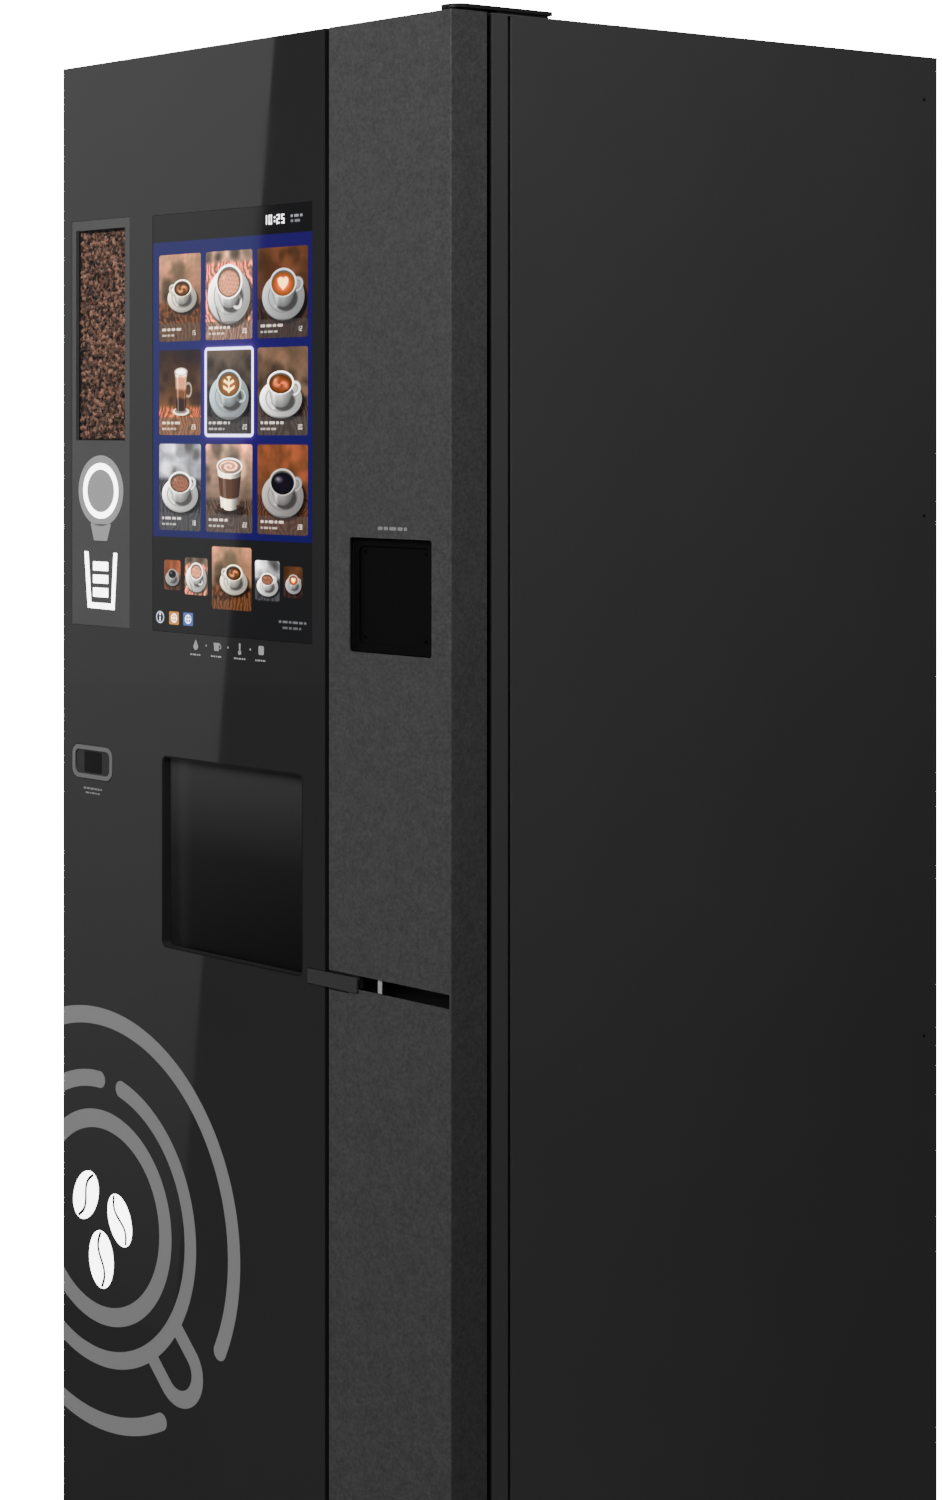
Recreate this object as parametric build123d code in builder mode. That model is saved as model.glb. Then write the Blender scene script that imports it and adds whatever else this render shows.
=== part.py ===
from build123d import *
import math
import os

# Hot-drinks vending machine: free-standing cabinet, one door hinged on the right.
# Millimetres. Origin at the floor under the middle of the cabinet, front faces -Y, +Z up.

os.makedirs("parts", exist_ok=True)

# ---- cabinet and door ----
WIDTH, DEPTH, TOP = 640.0, 780.0, 1830.0    # TOP is the upper face of the top sheet
DOOR_T = 51.0
DOOR_GAP = 7.0                              # between door and cabinet
RIM_T = 23.0                                # cabinet front rim
SEAM = 5.0                                  # between rim and side panel
SHEET = 2.0                                 # folded sheet
BASE_BOTTOM, BASE_TOP = 40.0, 60.0
GLASS_T = 6.0                               # front glass with its backing
LEFT, RIGHT = -WIDTH / 2, WIDTH / 2
FRONT, BACK = -DEPTH / 2, DEPTH / 2
DOOR_BACK = FRONT + DOOR_T
RIM_FRONT = DOOR_BACK + DOOR_GAP
RIM_BACK = RIM_FRONT + RIM_T
SIDE_FRONT = RIM_BACK + SEAM                # front edge of the side panels
SHELL_FRONT = FRONT + GLASS_T               # face of the door's front plate
BEHIND_SHELL = SHELL_FRONT + SHEET + 0.1    # where parts rest behind that plate
SHELL_RIGHT = 317.8
SKIN_BOTTOM = TOP - SHEET                   # underside of the top sheet
FRAME_TOP = SKIN_BOTTOM - SHEET
SIDE_INNER = RIGHT - SHEET                  # inner face of the side sheets
BACK_INNER = BACK - 2 * SHEET               # inner face of the back sheet
POST_INNER, POST_OUTER = 300, 316           # uprights, distance from the middle
GLASS_RIGHT, COLUMN_LEFT = 133.5, 139.7     # glass edge, metal column edge

# ---- outlines on the door front: x0, x1, z0, z1 ----
SCREEN = (-153.2, 113.3, 1168.9, 1645.3)
PLATE = (-302.4, -195.3, 1168.9, 1646.4)
WINDOW = (-294.9, -203.5, 1387.0, 1635.0)
PICKUP = (-136.8, 98.5, 808.2, 1026.8)
SCANNER = (-301.3, -226.2, 987.5, 1027.0)
READER = (171.4, 292.2, 1164.5, 1285.8)
GROOVE = (139.7, 317.5, 807.2, 822.1)
COVER = (107.5, 183.6, 803.5, 819.2)        # sliding lock cover
FLAP = (-146.0, 101.2, 799.0, 1036.0)

# ---- outlines on the back, same columns ----
SERVICE_PAN = (-250, -90, 110, 270)
POWER_HOLE = (-160, -112, 176, 204)

# ---- shared places, x and y unless named otherwise ----
PIVOT = (304.0, -366.0)                     # door pivot
PIN_R, BUSH_R = 5.0, 5.05                   # door hinge pin and its bush
FEET = [(x, y) for x in (-270, 270) for y in (-285, 340)]
GRINDER = (-248, -155)
BREWER = (-248, -170)
BOILER = (-50, 220)
CUP = (-19.0, -240.0)                       # cup place in the pick-up station
ARM = (52.0, -124.5)                        # cup arm pivot
DROP = (161.0, -205.0)                      # cup drop
TURRET = (205.0, -205.0)
TRAY = (-117, 83, -287, -163)               # drip tray: x0, x1, y0, y1
CANISTERS_X = (-135.0, 43.0)
OUTLET_Y = -252                             # canister outlets and mixer bowls
AUGER_Z, WHIPPER_Z = 1292, 1166
INLET_X, INLET_Z = -212, 190                # water inlet
FAN_X, FAN_Z = 180, 1600
LOCK_X, LOCK_Z = 121, 811.35

# ---- flap drive ----
RACK_MODULE, PINION_TEETH = 1.5, 18
BACKLASH = 0.24
PRESSURE_ANGLE = math.radians(20)
PITCH_R = RACK_MODULE * PINION_TEETH / 2
RACK_X = -146.5                             # rack pitch line
PINION_X, PINION_Z = RACK_X - PITCH_R, 812.0


# ======================= helpers =======================
def block(x0, x1, y0, y1, z0, z1, mode=Mode.ADD):
    """Box between limits; x0 and x1 may come in either order."""
    with Locations(((x0 + x1) / 2, (y0 + y1) / 2, (z0 + z1) / 2)):
        Box(abs(x1 - x0), y1 - y0, z1 - z0, mode=mode)


def cut_block(*limits):
    block(*limits, mode=Mode.SUBTRACT)


def rod(x, y, z, radius, length, axis="z", mode=Mode.ADD):
    """Cylinder centred on x, y, z."""
    turn = {"z": (0, 0, 0), "y": (90, 0, 0), "x": (0, 90, 0)}[axis]
    with Locations(Location((x, y, z), turn)):
        Cylinder(radius, length, mode=mode)


def cut_rod(x, y, z, radius, length, axis="z"):
    rod(x, y, z, radius, length, axis, Mode.SUBTRACT)


def grow(outline, amount):
    """Outline moved outwards on all four sides; inwards when negative."""
    a0, a1, b0, b1 = outline
    return a0 - amount, a1 + amount, b0 - amount, b1 + amount


def middle(outline):
    return (outline[0] + outline[1]) / 2, (outline[2] + outline[3]) / 2


def front_block(outline, y0, y1, mode=Mode.ADD):
    """Box with an x-z outline between two depths."""
    x0, x1, z0, z1 = outline
    block(x0, x1, y0, y1, z0, z1, mode)


def cut_front_block(outline, y0, y1):
    front_block(outline, y0, y1, Mode.SUBTRACT)


def rounded_outline(outline, radius, mode=Mode.ADD):
    """Rounded rectangle in the current sketch."""
    with Locations(middle(outline)):
        RectangleRounded(outline[1] - outline[0], outline[3] - outline[2], radius, mode=mode)


def front_plane(y, x=0, z=0):
    """Plane facing forwards (-Y)."""
    return Plane(origin=(x, y, z), x_dir=(1, 0, 0), z_dir=(0, -1, 0))


def circle_points(a, b, radius, count, start=0.0):
    """Points evenly spaced on a circle about (a, b), the first at angle start."""
    angles = [start + 2 * math.pi * i / count for i in range(count)]
    return [(a + radius * math.cos(t), b + radius * math.sin(t)) for t in angles]


def edges_at(piece, direction, axis, position):
    """Edges parallel to direction that lie at a position along axis."""
    edges = piece.edges().filter_by(direction)
    return edges.filter_by_position(axis, position - 0.1, position + 0.1)


def save(part, label):
    part.label = label
    export_step(part, f"parts/{label}.step")


# ======================= cabinet =======================
def frame_weldment():
    """Welded base and uprights."""
    with BuildPart() as piece:
        block(LEFT, RIGHT, RIM_FRONT, BACK - 2, BASE_BOTTOM, BASE_TOP)
        cut_block(LEFT + 45, RIGHT - 45, RIM_FRONT + 45, BACK - 45, BASE_BOTTOM, BASE_TOP - 3)
        with Locations((0, 130, BASE_TOP)):
            with GridLocations(60, 60, 5, 4):
                Cylinder(9, 20, mode=Mode.SUBTRACT)
        post_depth, rear_post = 30, 350
        for side in (-1, 1):
            inner, outer = side * POST_INNER, side * POST_OUTER
            block(inner, outer, RIM_BACK, RIM_BACK + post_depth, BASE_TOP, FRAME_TOP)
            block(inner, outer, rear_post, 384, BASE_TOP, FRAME_TOP)
            block(inner, outer, RIM_BACK + post_depth, rear_post, FRAME_TOP - 20, FRAME_TOP)
            block(inner, outer, RIM_BACK + post_depth, rear_post, 742, 766)
        block(-POST_INNER, POST_INNER, rear_post, 366, FRAME_TOP - 20, FRAME_TOP)
        # pocket in the left post that takes the latch
        cut_block(-312, -299, -310, -296, 774, 798)
        for foot in FEET:
            cut_rod(*foot, 50, 6.0, 24)
        for x in (-210, 210):
            cut_rod(x, 366, 50, 6.5, 24)
    return piece.part


def levelling_feet():
    with BuildPart() as piece:
        for foot in FEET:
            rod(*foot, 5, 25, 10)
            rod(*foot, 13, 12, 6)
            rod(*foot, 36, 5.9, 44)
            with BuildSketch(Plane(origin=(*foot, 31))):    # lock nut
                RegularPolygon(10, 6)
            extrude(amount=8.8)
        chamfer(piece.edges().filter_by(GeomType.CIRCLE).group_by(Axis.Z)[0], 1.5)
    return piece.part


def front_frame():
    """Pressed rim round the opening, hollow from behind."""
    low, high = BASE_TOP + SHEET, FRAME_TOP
    with BuildPart() as piece:
        block(LEFT, RIGHT, RIM_FRONT, RIM_BACK, BASE_TOP, SKIN_BOTTOM)
        cut_block(-298, 298, RIM_FRONT - 1, RIM_BACK + 1, 88, 1802)
        hollow = (RIM_FRONT + SHEET, RIM_BACK)
        cut_block(LEFT + SHEET, -POST_INNER, *hollow, low, high)
        cut_block(POST_INNER, SIDE_INNER, *hollow, low, high)
        cut_block(-310, 310, *hollow, 1804, high)
        cut_block(-310, 310, *hollow, low, 86)
        for z in (160, 560, 960, 1360, 1760):
            for x in (-309, 309):
                cut_rod(x, RIM_FRONT + 1, z, 2.2, 6, "y")
        for end in (0, -1):
            front_edges = edges_at(piece, Axis.Z, Axis.Y, RIM_FRONT).sort_by(Axis.X)
            fillet(front_edges[end], 1.5)
    return piece.part


def side_panel(side):
    """Side sheet with a rear return; side is -1 for left, 1 for right."""
    outermost = 0 if side < 0 else -1
    with BuildPart() as piece:
        block(side * SIDE_INNER, side * RIGHT, SIDE_FRONT, BACK, BASE_TOP, SKIN_BOTTOM)
        block(side * 304, side * SIDE_INNER, BACK - SHEET, BACK, BASE_TOP, SKIN_BOTTOM)
        for y, radius in ((BACK, 1.6), (SIDE_FRONT, 1.2)):
            fillet(edges_at(piece, Axis.Z, Axis.Y, y).sort_by(Axis.X)[outermost], radius)
        for z in (120, 700, 1300, 1780):
            cut_rod(side * 319, 366, z, 2.2, 6, "x")
    return piece.part


def back_panel():
    sheet_y, pan_front = 387, 350
    pan_outer = grow(SERVICE_PAN, 4)
    with BuildPart() as piece:
        block(-SIDE_INNER, SIDE_INNER, BACK_INNER, BACK - SHEET, BASE_TOP, SKIN_BOTTOM)
        # fan outlet: a middle hole and three rings of holes
        cut_rod(FAN_X, sheet_y, FAN_Z, 6, 6, "y")
        for ring_radius, count in ((16, 6), (31, 12), (46, 18)):
            for x, z in circle_points(FAN_X, FAN_Z, ring_radius, count):
                cut_rod(x, sheet_y, z, 5.2, 6, "y")
        # cooling louvres
        for z in range(1120, 1320, 20):
            with BuildSketch(front_plane(389)):
                with Locations((-20, z)):
                    SlotOverall(260, 8)
            extrude(amount=4, mode=Mode.SUBTRACT)
        # recessed service pan with holes in its floor
        cut_front_block(SERVICE_PAN, 383, 389)
        front_block(pan_outer, pan_front, BACK_INNER)
        cut_front_block(SERVICE_PAN, pan_front + SHEET, 388)
        cut_rod(INLET_X, pan_front + 1, INLET_Z, 13.4, 6, "y")
        cut_front_block(POWER_HOLE, pan_front - 1, pan_front + 3)
        cut_rod(-136, pan_front + 1, 240, 11.0, 6, "y")
        # holes for the wall restraint
        for x in (-210, 210):
            cut_rod(x, sheet_y, 1740, 4.5, 6, "y")
        pan_edges = piece.edges().filter_by(Axis.Y)
        pan_edges = pan_edges.filter_by_position(Axis.Z, pan_outer[2], pan_outer[3])
        fillet(pan_edges.filter_by_position(Axis.Y, pan_front + SHEET, sheet_y), 6)
    return piece.part


def top_panel():
    with BuildPart() as piece:
        block(LEFT, RIGHT, RIM_FRONT, BACK, SKIN_BOTTOM, TOP)
        # low lip under the sheet
        block(-300, 300, -300, 340, FRAME_TOP, SKIN_BOTTOM)
        cut_block(-298, 298, -298, 338, FRAME_TOP - 1, SKIN_BOTTOM)
        for x in (-303, 303):
            for y in (-200, 70, 340):
                cut_rod(x, y, 1829, 2.2, 6)
        fillet(piece.edges().filter_by(Axis.Y).group_by(Axis.Z)[-1], 1.2)
    return piece.part


def door_hinges():
    """Upper plate raised off the top sheet and lower bracket, each with its pin."""
    pivot_x, pivot_y = PIVOT
    plate_back, plate_width = -240, 31.6
    with BuildPart() as piece:
        with BuildSketch(Plane(origin=(0, 0, TOP + 3))):
            with Locations(PIVOT):
                Circle(plate_width / 2)
            with Locations((pivot_x, (pivot_y + plate_back) / 2)):
                Rectangle(plate_width, plate_back - pivot_y)
        extrude(amount=4)
        block(291, 317, -322, -246, TOP, TOP + 3)
        fillet(edges_at(piece, Axis.Z, Axis.Y, plate_back), 5)
        rod(*PIVOT, TOP - 9, PIN_R, 26)
        for y in (-305, -263):
            cut_rod(pivot_x, y, TOP + 3, 3.4, 12)
        with BuildSketch(Plane(origin=(0, 0, 48))):
            with Locations(PIVOT):
                Circle(15)
            with Locations((pivot_x - 10, (pivot_y + RIM_FRONT) / 2)):
                Rectangle(50, RIM_FRONT - pivot_y)
        extrude(amount=5)
        block(269, 319, -336, RIM_FRONT, 41, 53)
        rod(*PIVOT, 65, PIN_R, 26)
        rod(*PIVOT, 56, 9, 7)
    return piece.part


def deck():
    """Shelves: wet deck, canister shelf, cup turret bearing plate."""
    shelf_left, shelf_right = -200, 112
    with BuildPart() as piece:
        # wet deck with the tray opening and a front flange
        block(-298, 298, -290, 345, 768, 771)
        cut_block(*grow(TRAY, 1), 760, 775)
        block(-298, 298, -290, -288, 748, 768)
        # canister shelf, its rear brackets and rear upright
        block(shelf_left, shelf_right, -284, 60, 1262, 1265)
        block(shelf_left, shelf_right, -286, -284, 1250, 1265)
        for x in CANISTERS_X:
            cut_rod(x, OUTLET_Y, 1263, 24, 10)
        block(shelf_left, shelf_left + 3, 60, 345, 1240, 1265)
        block(shelf_right - 3, shelf_right, 60, 345, 1240, 1265)
        block(shelf_left, shelf_right, 345, 348, 1200, 1265)
        # left service bulkhead for grinder and brewer
        block(shelf_left, shelf_left + 3, -284, 60, 1100, 1262)
        block(-298, shelf_left + 3, -40, -37, 771, 1370)
        block(-298, shelf_left + 3, -250, -40, 1180, 1183)
        cut_block(-275, -215, -235, -120, 1170, 1190)
        # turret plate with its rear and right walls
        block(116, 298, -290, -118, 958, 962)
        cut_rod(*DROP, 960, 40, 10)
        cut_rod(*TURRET, 960, 6, 10)
        block(116, 298, -118, -115, 771, 1500)
        block(294, 298, -290, -118, 771, 962)
    return piece.part


# ======================= bean hopper and grinder =======================
HOPPER_X0, HOPPER_X1 = -293.0, -203.0
HOPPER_FRONT, HOPPER_BACK = -378.0, -60.0
HOPPER_BOTTOM, HOPPER_TOP = 1376.0, 1650.0
LID_HINGE = (HOPPER_BACK - 6, HOPPER_TOP + 5)   # y, z


def bean_hopper():
    front, back, bottom, top = HOPPER_FRONT, HOPPER_BACK, HOPPER_BOTTOM, HOPPER_TOP
    wall = 3
    # side profiles: y, z
    outer = [
        (front, bottom + 8), (front, top), (back, top), (back, bottom + 110),
        (back - 60, bottom), (back - 130, bottom), (front + 20, bottom + 8),
    ]
    inner = [
        (front + wall, bottom + 11), (front + wall, top + 1), (back - wall, top + 1),
        (back - wall, bottom + 111), (back - 61.5, bottom + wall),
        (back - 130, bottom + wall), (front + 21, bottom + 11),
    ]
    with BuildPart() as piece:
        with BuildSketch(Plane.YZ.offset(HOPPER_X0)):
            with BuildLine():
                Polyline(*outer, close=True)
            make_face()
        extrude(amount=HOPPER_X1 - HOPPER_X0)
        with BuildSketch(Plane.YZ.offset(HOPPER_X0 + wall)):
            with BuildLine():
                Polyline(*inner, close=True)
            make_face()
        extrude(amount=HOPPER_X1 - HOPPER_X0 - 2 * wall, mode=Mode.SUBTRACT)
        cut_rod(*GRINDER, bottom + 2, 24, 14)
        with BuildSketch(Plane(origin=(*GRINDER, bottom - 6))):
            Circle(30)
            Circle(24, mode=Mode.SUBTRACT)
        extrude(amount=6)
        # hinge barrel for the lid
        block(-258, -238, back - 6, back, top - 6, top + 5)
        rod(-248, *LID_HINGE, 4.5, 20, "x")
        cut_rod(-248, *LID_HINGE, 2.05, 30, "x")
    return piece.part


def hopper_lid():
    top = HOPPER_TOP
    x0, x1 = HOPPER_X0, HOPPER_X1
    with BuildPart() as piece:
        block(x0 - 1, x1 + 1, -216, HOPPER_BACK - 12, top + 1, top + 4)
        block(x0 - 1, -262, HOPPER_BACK - 14, HOPPER_BACK - 7, top + 1, top + 4)
        block(-234, x1 + 1, HOPPER_BACK - 14, HOPPER_BACK - 7, top + 1, top + 4)
        # hinge pin and two barrels
        rod(-248, *LID_HINGE, 2.0, 64, "x")
        rod(-276, *LID_HINGE, 4.5, 30, "x")
        rod(-220, *LID_HINGE, 4.5, 30, "x")
        block(-262, -234, -222, -212, top + 1, top + 9)     # front grip
        # locating lip underneath
        block(x0 + 5, x1 - 5, -205, -100, top - 3, top + 1)
        cut_block(x0 + 7, x1 - 7, -203, -102, top - 4, top + 1)
    return piece.part


def grinder_housing():
    with BuildPart() as piece:
        # burr chamber and its top ring
        rod(*GRINDER, 1341, 38, 52)
        cut_rod(*GRINDER, 1342, 32, 52)
        rod(*GRINDER, 1368.5, 38, 3)
        cut_rod(*GRINDER, 1368.5, 24, 3)
        rod(*GRINDER, 1256, 36, 118)                        # motor
        # spout box on the front, opening into the chamber
        block(-268, -228, -212, -180, 1298, 1330)
        cut_block(-262, -234, -206, -150, 1304, 1360)
        rod(*GRINDER, 1306, 36, 20)
        cut_rod(*GRINDER, 1310, 5.1, 20)
        with BuildSketch(Plane(origin=(-248, -203, 1186))):  # ground coffee duct
            Rectangle(34, 18)
            Rectangle(30, 14, mode=Mode.SUBTRACT)
        extrude(amount=118)
        for rib in circle_points(*GRINDER, 36, 8, start=0.2):
            rod(*rib, 1240, 3, 70)
    return piece.part


def grinder_burr():
    with BuildPart() as piece:
        rod(*GRINDER, 1328, 30, 12)
        rod(*GRINDER, 1314, 5.0, 18)
        with Locations((*GRINDER, 1342)):
            Cone(30, 12, 16)
        with Locations((*GRINDER, 1336)):
            with PolarLocations(30, 12):
                Cylinder(2.2, 30, mode=Mode.SUBTRACT)
    return piece.part


# ======================= brewer =======================
def brewer_frame():
    x0, x1, front, back = -290, -206, -245, -60
    bottom, top, wall = 936, 1160, 4
    with BuildPart() as piece:
        block(x0, x1, front, back, bottom, bottom + wall)
        block(x0, x0 + wall, front, back, bottom, top)
        block(x1 - wall, x1, front, back, bottom, top)
        block(x0, x1, back - 10, back, bottom, top)
        # brew cylinder, carried on a cross bar and a rib
        rod(*BREWER, 1030, 34, 60)
        block(-286, -210, -139, -66, 1002, 1012)
        block(-252, -244, -140, -66, 1004, 1056)
        cut_rod(*BREWER, 1030, 28, 62)
        with BuildSketch(Plane(origin=(0, 0, top))):        # top plate
            with Locations((-248, -190)):
                Rectangle(80, 90)
                Rectangle(44, 34, mode=Mode.SUBTRACT)
        extrude(amount=4)
        for y in (-225, -85):
            for x in (-288, -208):
                rod(x, y, 1148, 5, 10, "x")
        rod(-248, -232, 960, 6, 50)
        block(-286, -210, -235, -229, bottom, 952)
    return piece.part


def brew_piston():
    with BuildPart() as piece:
        rod(*BREWER, 1066, 27.9, 10)
        rod(*BREWER, 1091, 8, 42)
        with BuildSketch(Plane(origin=(*BREWER, 1108))):
            with Locations((0, 0)):
                SlotOverall(60, 24)
        extrude(amount=8)
        rod(*BREWER, 1062, 24, 3)
    return piece.part


# ======================= hot water =======================
def boiler():
    x, y = BOILER
    with BuildPart() as piece:
        rod(x, y, 960, 74, 300)
        fillet(piece.edges().filter_by(GeomType.CIRCLE), 18)
        # top fittings and bottom boss
        rod(x, y, 1118, 9, 30)
        rod(x - 36, y, 1112, 6, 24)
        rod(x + 36, y, 1112, 6, 24)
        rod(x, y, 808, 20, 12)
        for leg in circle_points(x, y, 60, 4, start=math.pi / 4):
            rod(*leg, 792, 6, 42)
        for band_z in (960, 1040):
            rod(x, y, band_z, 77, 12)
        cut_rod(x, y, 960, 71, 262)
    return piece.part


def pump():
    with BuildPart() as piece:
        block(110, 190, 160, 300, 62, 68)                   # base plate
        rod(150, 240, 112, 32, 90, "y")                     # motor
        rod(150, 180, 112, 24, 34, "y")                     # pump head
        block(128, 172, 200, 280, 68, 90)
        rod(150, 172, 148, 7, 30)
        rod(128, 172, 140, 6, 44)
        for x in (116, 184):
            for y in (168, 292):
                rod(x, y, 69, 5, 3)
    return piece.part


# ======================= powder canisters =======================
def canister_outline(x, half_width, half_throat, top, shoulder, bottom):
    """Cross-section with sides that taper in to the auger trough: x, z."""
    return [
        (x - half_width, top), (x - half_width, shoulder), (x - half_throat, bottom),
        (x + half_throat, bottom), (x + half_width, shoulder), (x + half_width, top),
    ]


def canister(x):
    with BuildPart() as piece:
        with BuildSketch(Plane.XZ.offset(278)):
            with BuildLine():
                Polyline(*canister_outline(x, 60, 22, 1560, 1360, 1292), close=True)
            make_face()
        extrude(amount=-298)
        rod(x, -129, AUGER_Z, 22, 298, "y")
        fillet(piece.edges().filter_by(Axis.Y), 4)
        with BuildSketch(Plane.XZ.offset(275)):
            with BuildLine():
                Polyline(*canister_outline(x, 57, 19, 1561, 1361, 1294), close=True)
            make_face()
        extrude(amount=-292, mode=Mode.SUBTRACT)
        cut_rod(x, -129, AUGER_Z, 19.5, 292, "y")
        # outlet tube through the shelf
        cut_rod(x, OUTLET_Y, 1265, 17, 44)
        with BuildSketch(Plane(origin=(x, OUTLET_Y, 1240))):
            Circle(20)
            Circle(17, mode=Mode.SUBTRACT)
        extrude(amount=34)
        cut_rod(x, OUTLET_Y, AUGER_Z, 16.9, 30)
        cut_rod(x, 20, AUGER_Z, 5.05, 12, "y")              # auger bearing
        # lid
        block(x - 63, x + 63, -281, 23, 1560, 1566)
        block(x - 50, x + 50, -262, 4, 1566, 1572)
        cut_block(x - 57, x + 57, -274.9, 16.9, 1559, 1562.5)
    return piece.part


def auger(x):
    """Shaft with part-disc flights that open above and below in turn."""
    first_flight, flight_pitch = -236, 14.0
    with BuildPart() as piece:
        rod(x, -104, AUGER_Z, 4.9, 276, "y")
        for i in range(18):
            with BuildSketch(front_plane(first_flight + i * flight_pitch, x, AUGER_Z)):
                Circle(18.6)
                with Locations((0, 12 if i % 2 else -12)):
                    Rectangle(40, 16, mode=Mode.SUBTRACT)
                Circle(6)
            extrude(amount=3)
    return piece.part


def auger_motors():
    with BuildPart() as piece:
        for x in CANISTERS_X:
            block(x - 27, x + 27, 36, 58, 1268, 1318)       # gearbox
            rod(x, 36, AUGER_Z, 9, 6, "y")
            rod(x, 72, AUGER_Z, 18, 40, "y")
            cut_rod(x, 34, AUGER_Z, 5.0, 8, "y")
    return piece.part


def mixer_bowl():
    with BuildPart() as piece:
        for x in CANISTERS_X:
            with Locations((x, OUTLET_Y, 1200)):
                Cone(16, 36, 56)
            rod(x, OUTLET_Y, 1162, 16, 24)
            rod(x, -226, WHIPPER_Z, 15, 52, "y")
            with Locations((x, OUTLET_Y, 1202)):
                Cone(13.4, 33.4, 56.2, mode=Mode.SUBTRACT)
            cut_rod(x, OUTLET_Y, 1170, 13.2, 24)
            cut_rod(x, -228, WHIPPER_Z, 12, 44, "y")
            # outlet spout
            rod(x, OUTLET_Y, 1140, 7, 30)
            cut_rod(x, OUTLET_Y, 1136, 5, 42)
            cut_rod(x, -203, WHIPPER_Z, 3.05, 12, "y")
            # whipper motor on a bracket under the shelf
            rod(x, -168, WHIPPER_Z, 22, 50, "y")
            cut_rod(x, -188, WHIPPER_Z, 3.05, 14, "y")
            block(x - 22, x + 22, -200, -196, 1150, 1262)
            block(x - 22, x + 22, -200, -150, 1184, 1190)
            cut_rod(x, -198, WHIPPER_Z, 10, 8, "y")
    return piece.part


def whipper(x):
    with BuildPart() as piece:
        rod(x, -214, WHIPPER_Z, 3.0, 60, "y")
        rod(x, -228, WHIPPER_Z, 11.5, 3, "y")
        for pin_x, pin_z in circle_points(x, WHIPPER_Z, 9, 6):
            rod(pin_x, -233, pin_z, 1.8, 10, "y")
    return piece.part


# ======================= cups =======================
def cup_turret():
    tubes = circle_points(*TURRET, 44, 3, start=math.pi)
    with BuildPart() as piece:
        rod(*TURRET, 1226, 5.95, 540)
        rod(*TURRET, 967, 83, 6)
        rod(*TURRET, 1493, 83, 6)
        for tube in tubes:
            rod(*tube, 1230, 38, 536)
        for tube in tubes:
            cut_rod(*tube, 1230, 36.8, 560)
        # the bores nick the shaft, so it is made good
        rod(*TURRET, 1230, 8, 536)
        rod(*TURRET, 960, 5.95, 20)
    return piece.part


def drop_ring():
    x, y = DROP
    bore_r = 38.5
    with BuildPart() as piece:
        rod(x, y, 946, 46, 22)
        cut_rod(x, y, 946, bore_r, 24)
        cut_rod(x, y, 941, 44, 6)
        block(x + 30, x + 96, y - 20, y + 20, 936, 957)
        cut_rod(*TURRET, 946, 8, 30)
        cut_rod(x, y, 946, bore_r, 24)      # again, where the block reaches into the bore
        with Locations((x, y, 953)):
            with PolarLocations(38.0, 6, start_angle=30):
                Box(6, 8, 3)
    return piece.part


def cup_arm():
    """Ring under the cup drop on an arm from the pivot post."""
    arm_x, arm_y = ARM
    drop_x, drop_y = DROP
    side_x, side_y = 5.9, 8                 # from the arm's centre line to its edge
    with BuildPart() as piece:
        rod(*ARM, 908, 12, 20)
        with BuildSketch(Plane(origin=(0, 0, 904))):
            with Locations(DROP):
                Circle(43)
            with BuildLine():
                Polyline(
                    (arm_x + side_x, arm_y + side_y),
                    (drop_x + side_x, drop_y + side_y),
                    (drop_x - side_x, drop_y - side_y),
                    (arm_x - side_x, arm_y - side_y),
                    close=True,
                )
            make_face()
            with Locations(DROP):
                Circle(36.4, mode=Mode.SUBTRACT)
        extrude(amount=8)
        cut_rod(*ARM, 908, 6.05, 40)
    return piece.part


# ======================= pick-up station =======================
def drip_tray():
    inside = (*grow(TRAY, -3), 765, 807)
    with BuildPart() as piece:
        block(*TRAY, 762, 806)
        cut_block(*inside)
        # flange that rests on the deck, opened to the tray's inside
        block(*grow(TRAY, 3), 771.2, 774)
        cut_block(*inside)
        rod(60, -185, 756, 7, 16)                           # drain
        cut_rod(60, -185, 760, 5, 30)
        fillet(piece.edges().filter_by(Axis.Z).filter_by_position(Axis.Z, 780, 800), 2.5)
    return piece.part


def drip_grille():
    with BuildPart() as piece:
        block(*grow(TRAY, -0.5), 807, 811)
        with Locations((CUP[0] + 2, -225, 809)):
            with GridLocations(16, 52, 11, 2):
                Box(10, 44, 8, mode=Mode.SUBTRACT)
        # cup rest
        rod(*CUP, 810.5, 34, 3)
        cut_rod(*CUP, 812, 30, 3)
        with Locations((*CUP, 809)):
            with PolarLocations(18, 8):
                Cylinder(4, 8, mode=Mode.SUBTRACT)
    return piece.part


def station_liner():
    left, right, front, back = -124, 112, -290, -156
    bottom, top, wall = 774.2, 1040, 3
    arm_x, arm_y = ARM
    with BuildPart() as piece:
        block(left, left + wall, front, back, bottom, top)
        block(left, right, back - wall, back, bottom, top)
        block(left, right, front, back, top - wall, top)
        cut_block(-2, 113, -161, -155, 896, 922)            # slot for the cup arm
        cut_rod(*CUP, 1038, 30, 10)
        # bearing post for the cup arm
        rod(*ARM, 846, 14, 104)
        rod(*ARM, 908, 6.0, 36)
        block(arm_x - 30, arm_x + 30, back, arm_y + 20, 794, 800)
        block(arm_x - 30, arm_x + 30, arm_y - 16, arm_y + 20, bottom, 780)
        rod(*ARM, 786, 14, 20)
    return piece.part


def dispense_head():
    with BuildPart() as piece:
        rod(*CUP, 1020, 28, 36)
        for nozzle in circle_points(*CUP, 14, 3, start=math.pi / 2):
            rod(*nozzle, 984, 5.5, 40)
            cut_rod(*nozzle, 980, 3.5, 60)
            rod(*nozzle, 1047, 7, 20)
        rod(*CUP, 1041.6, 34, 3)
    return piece.part


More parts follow.
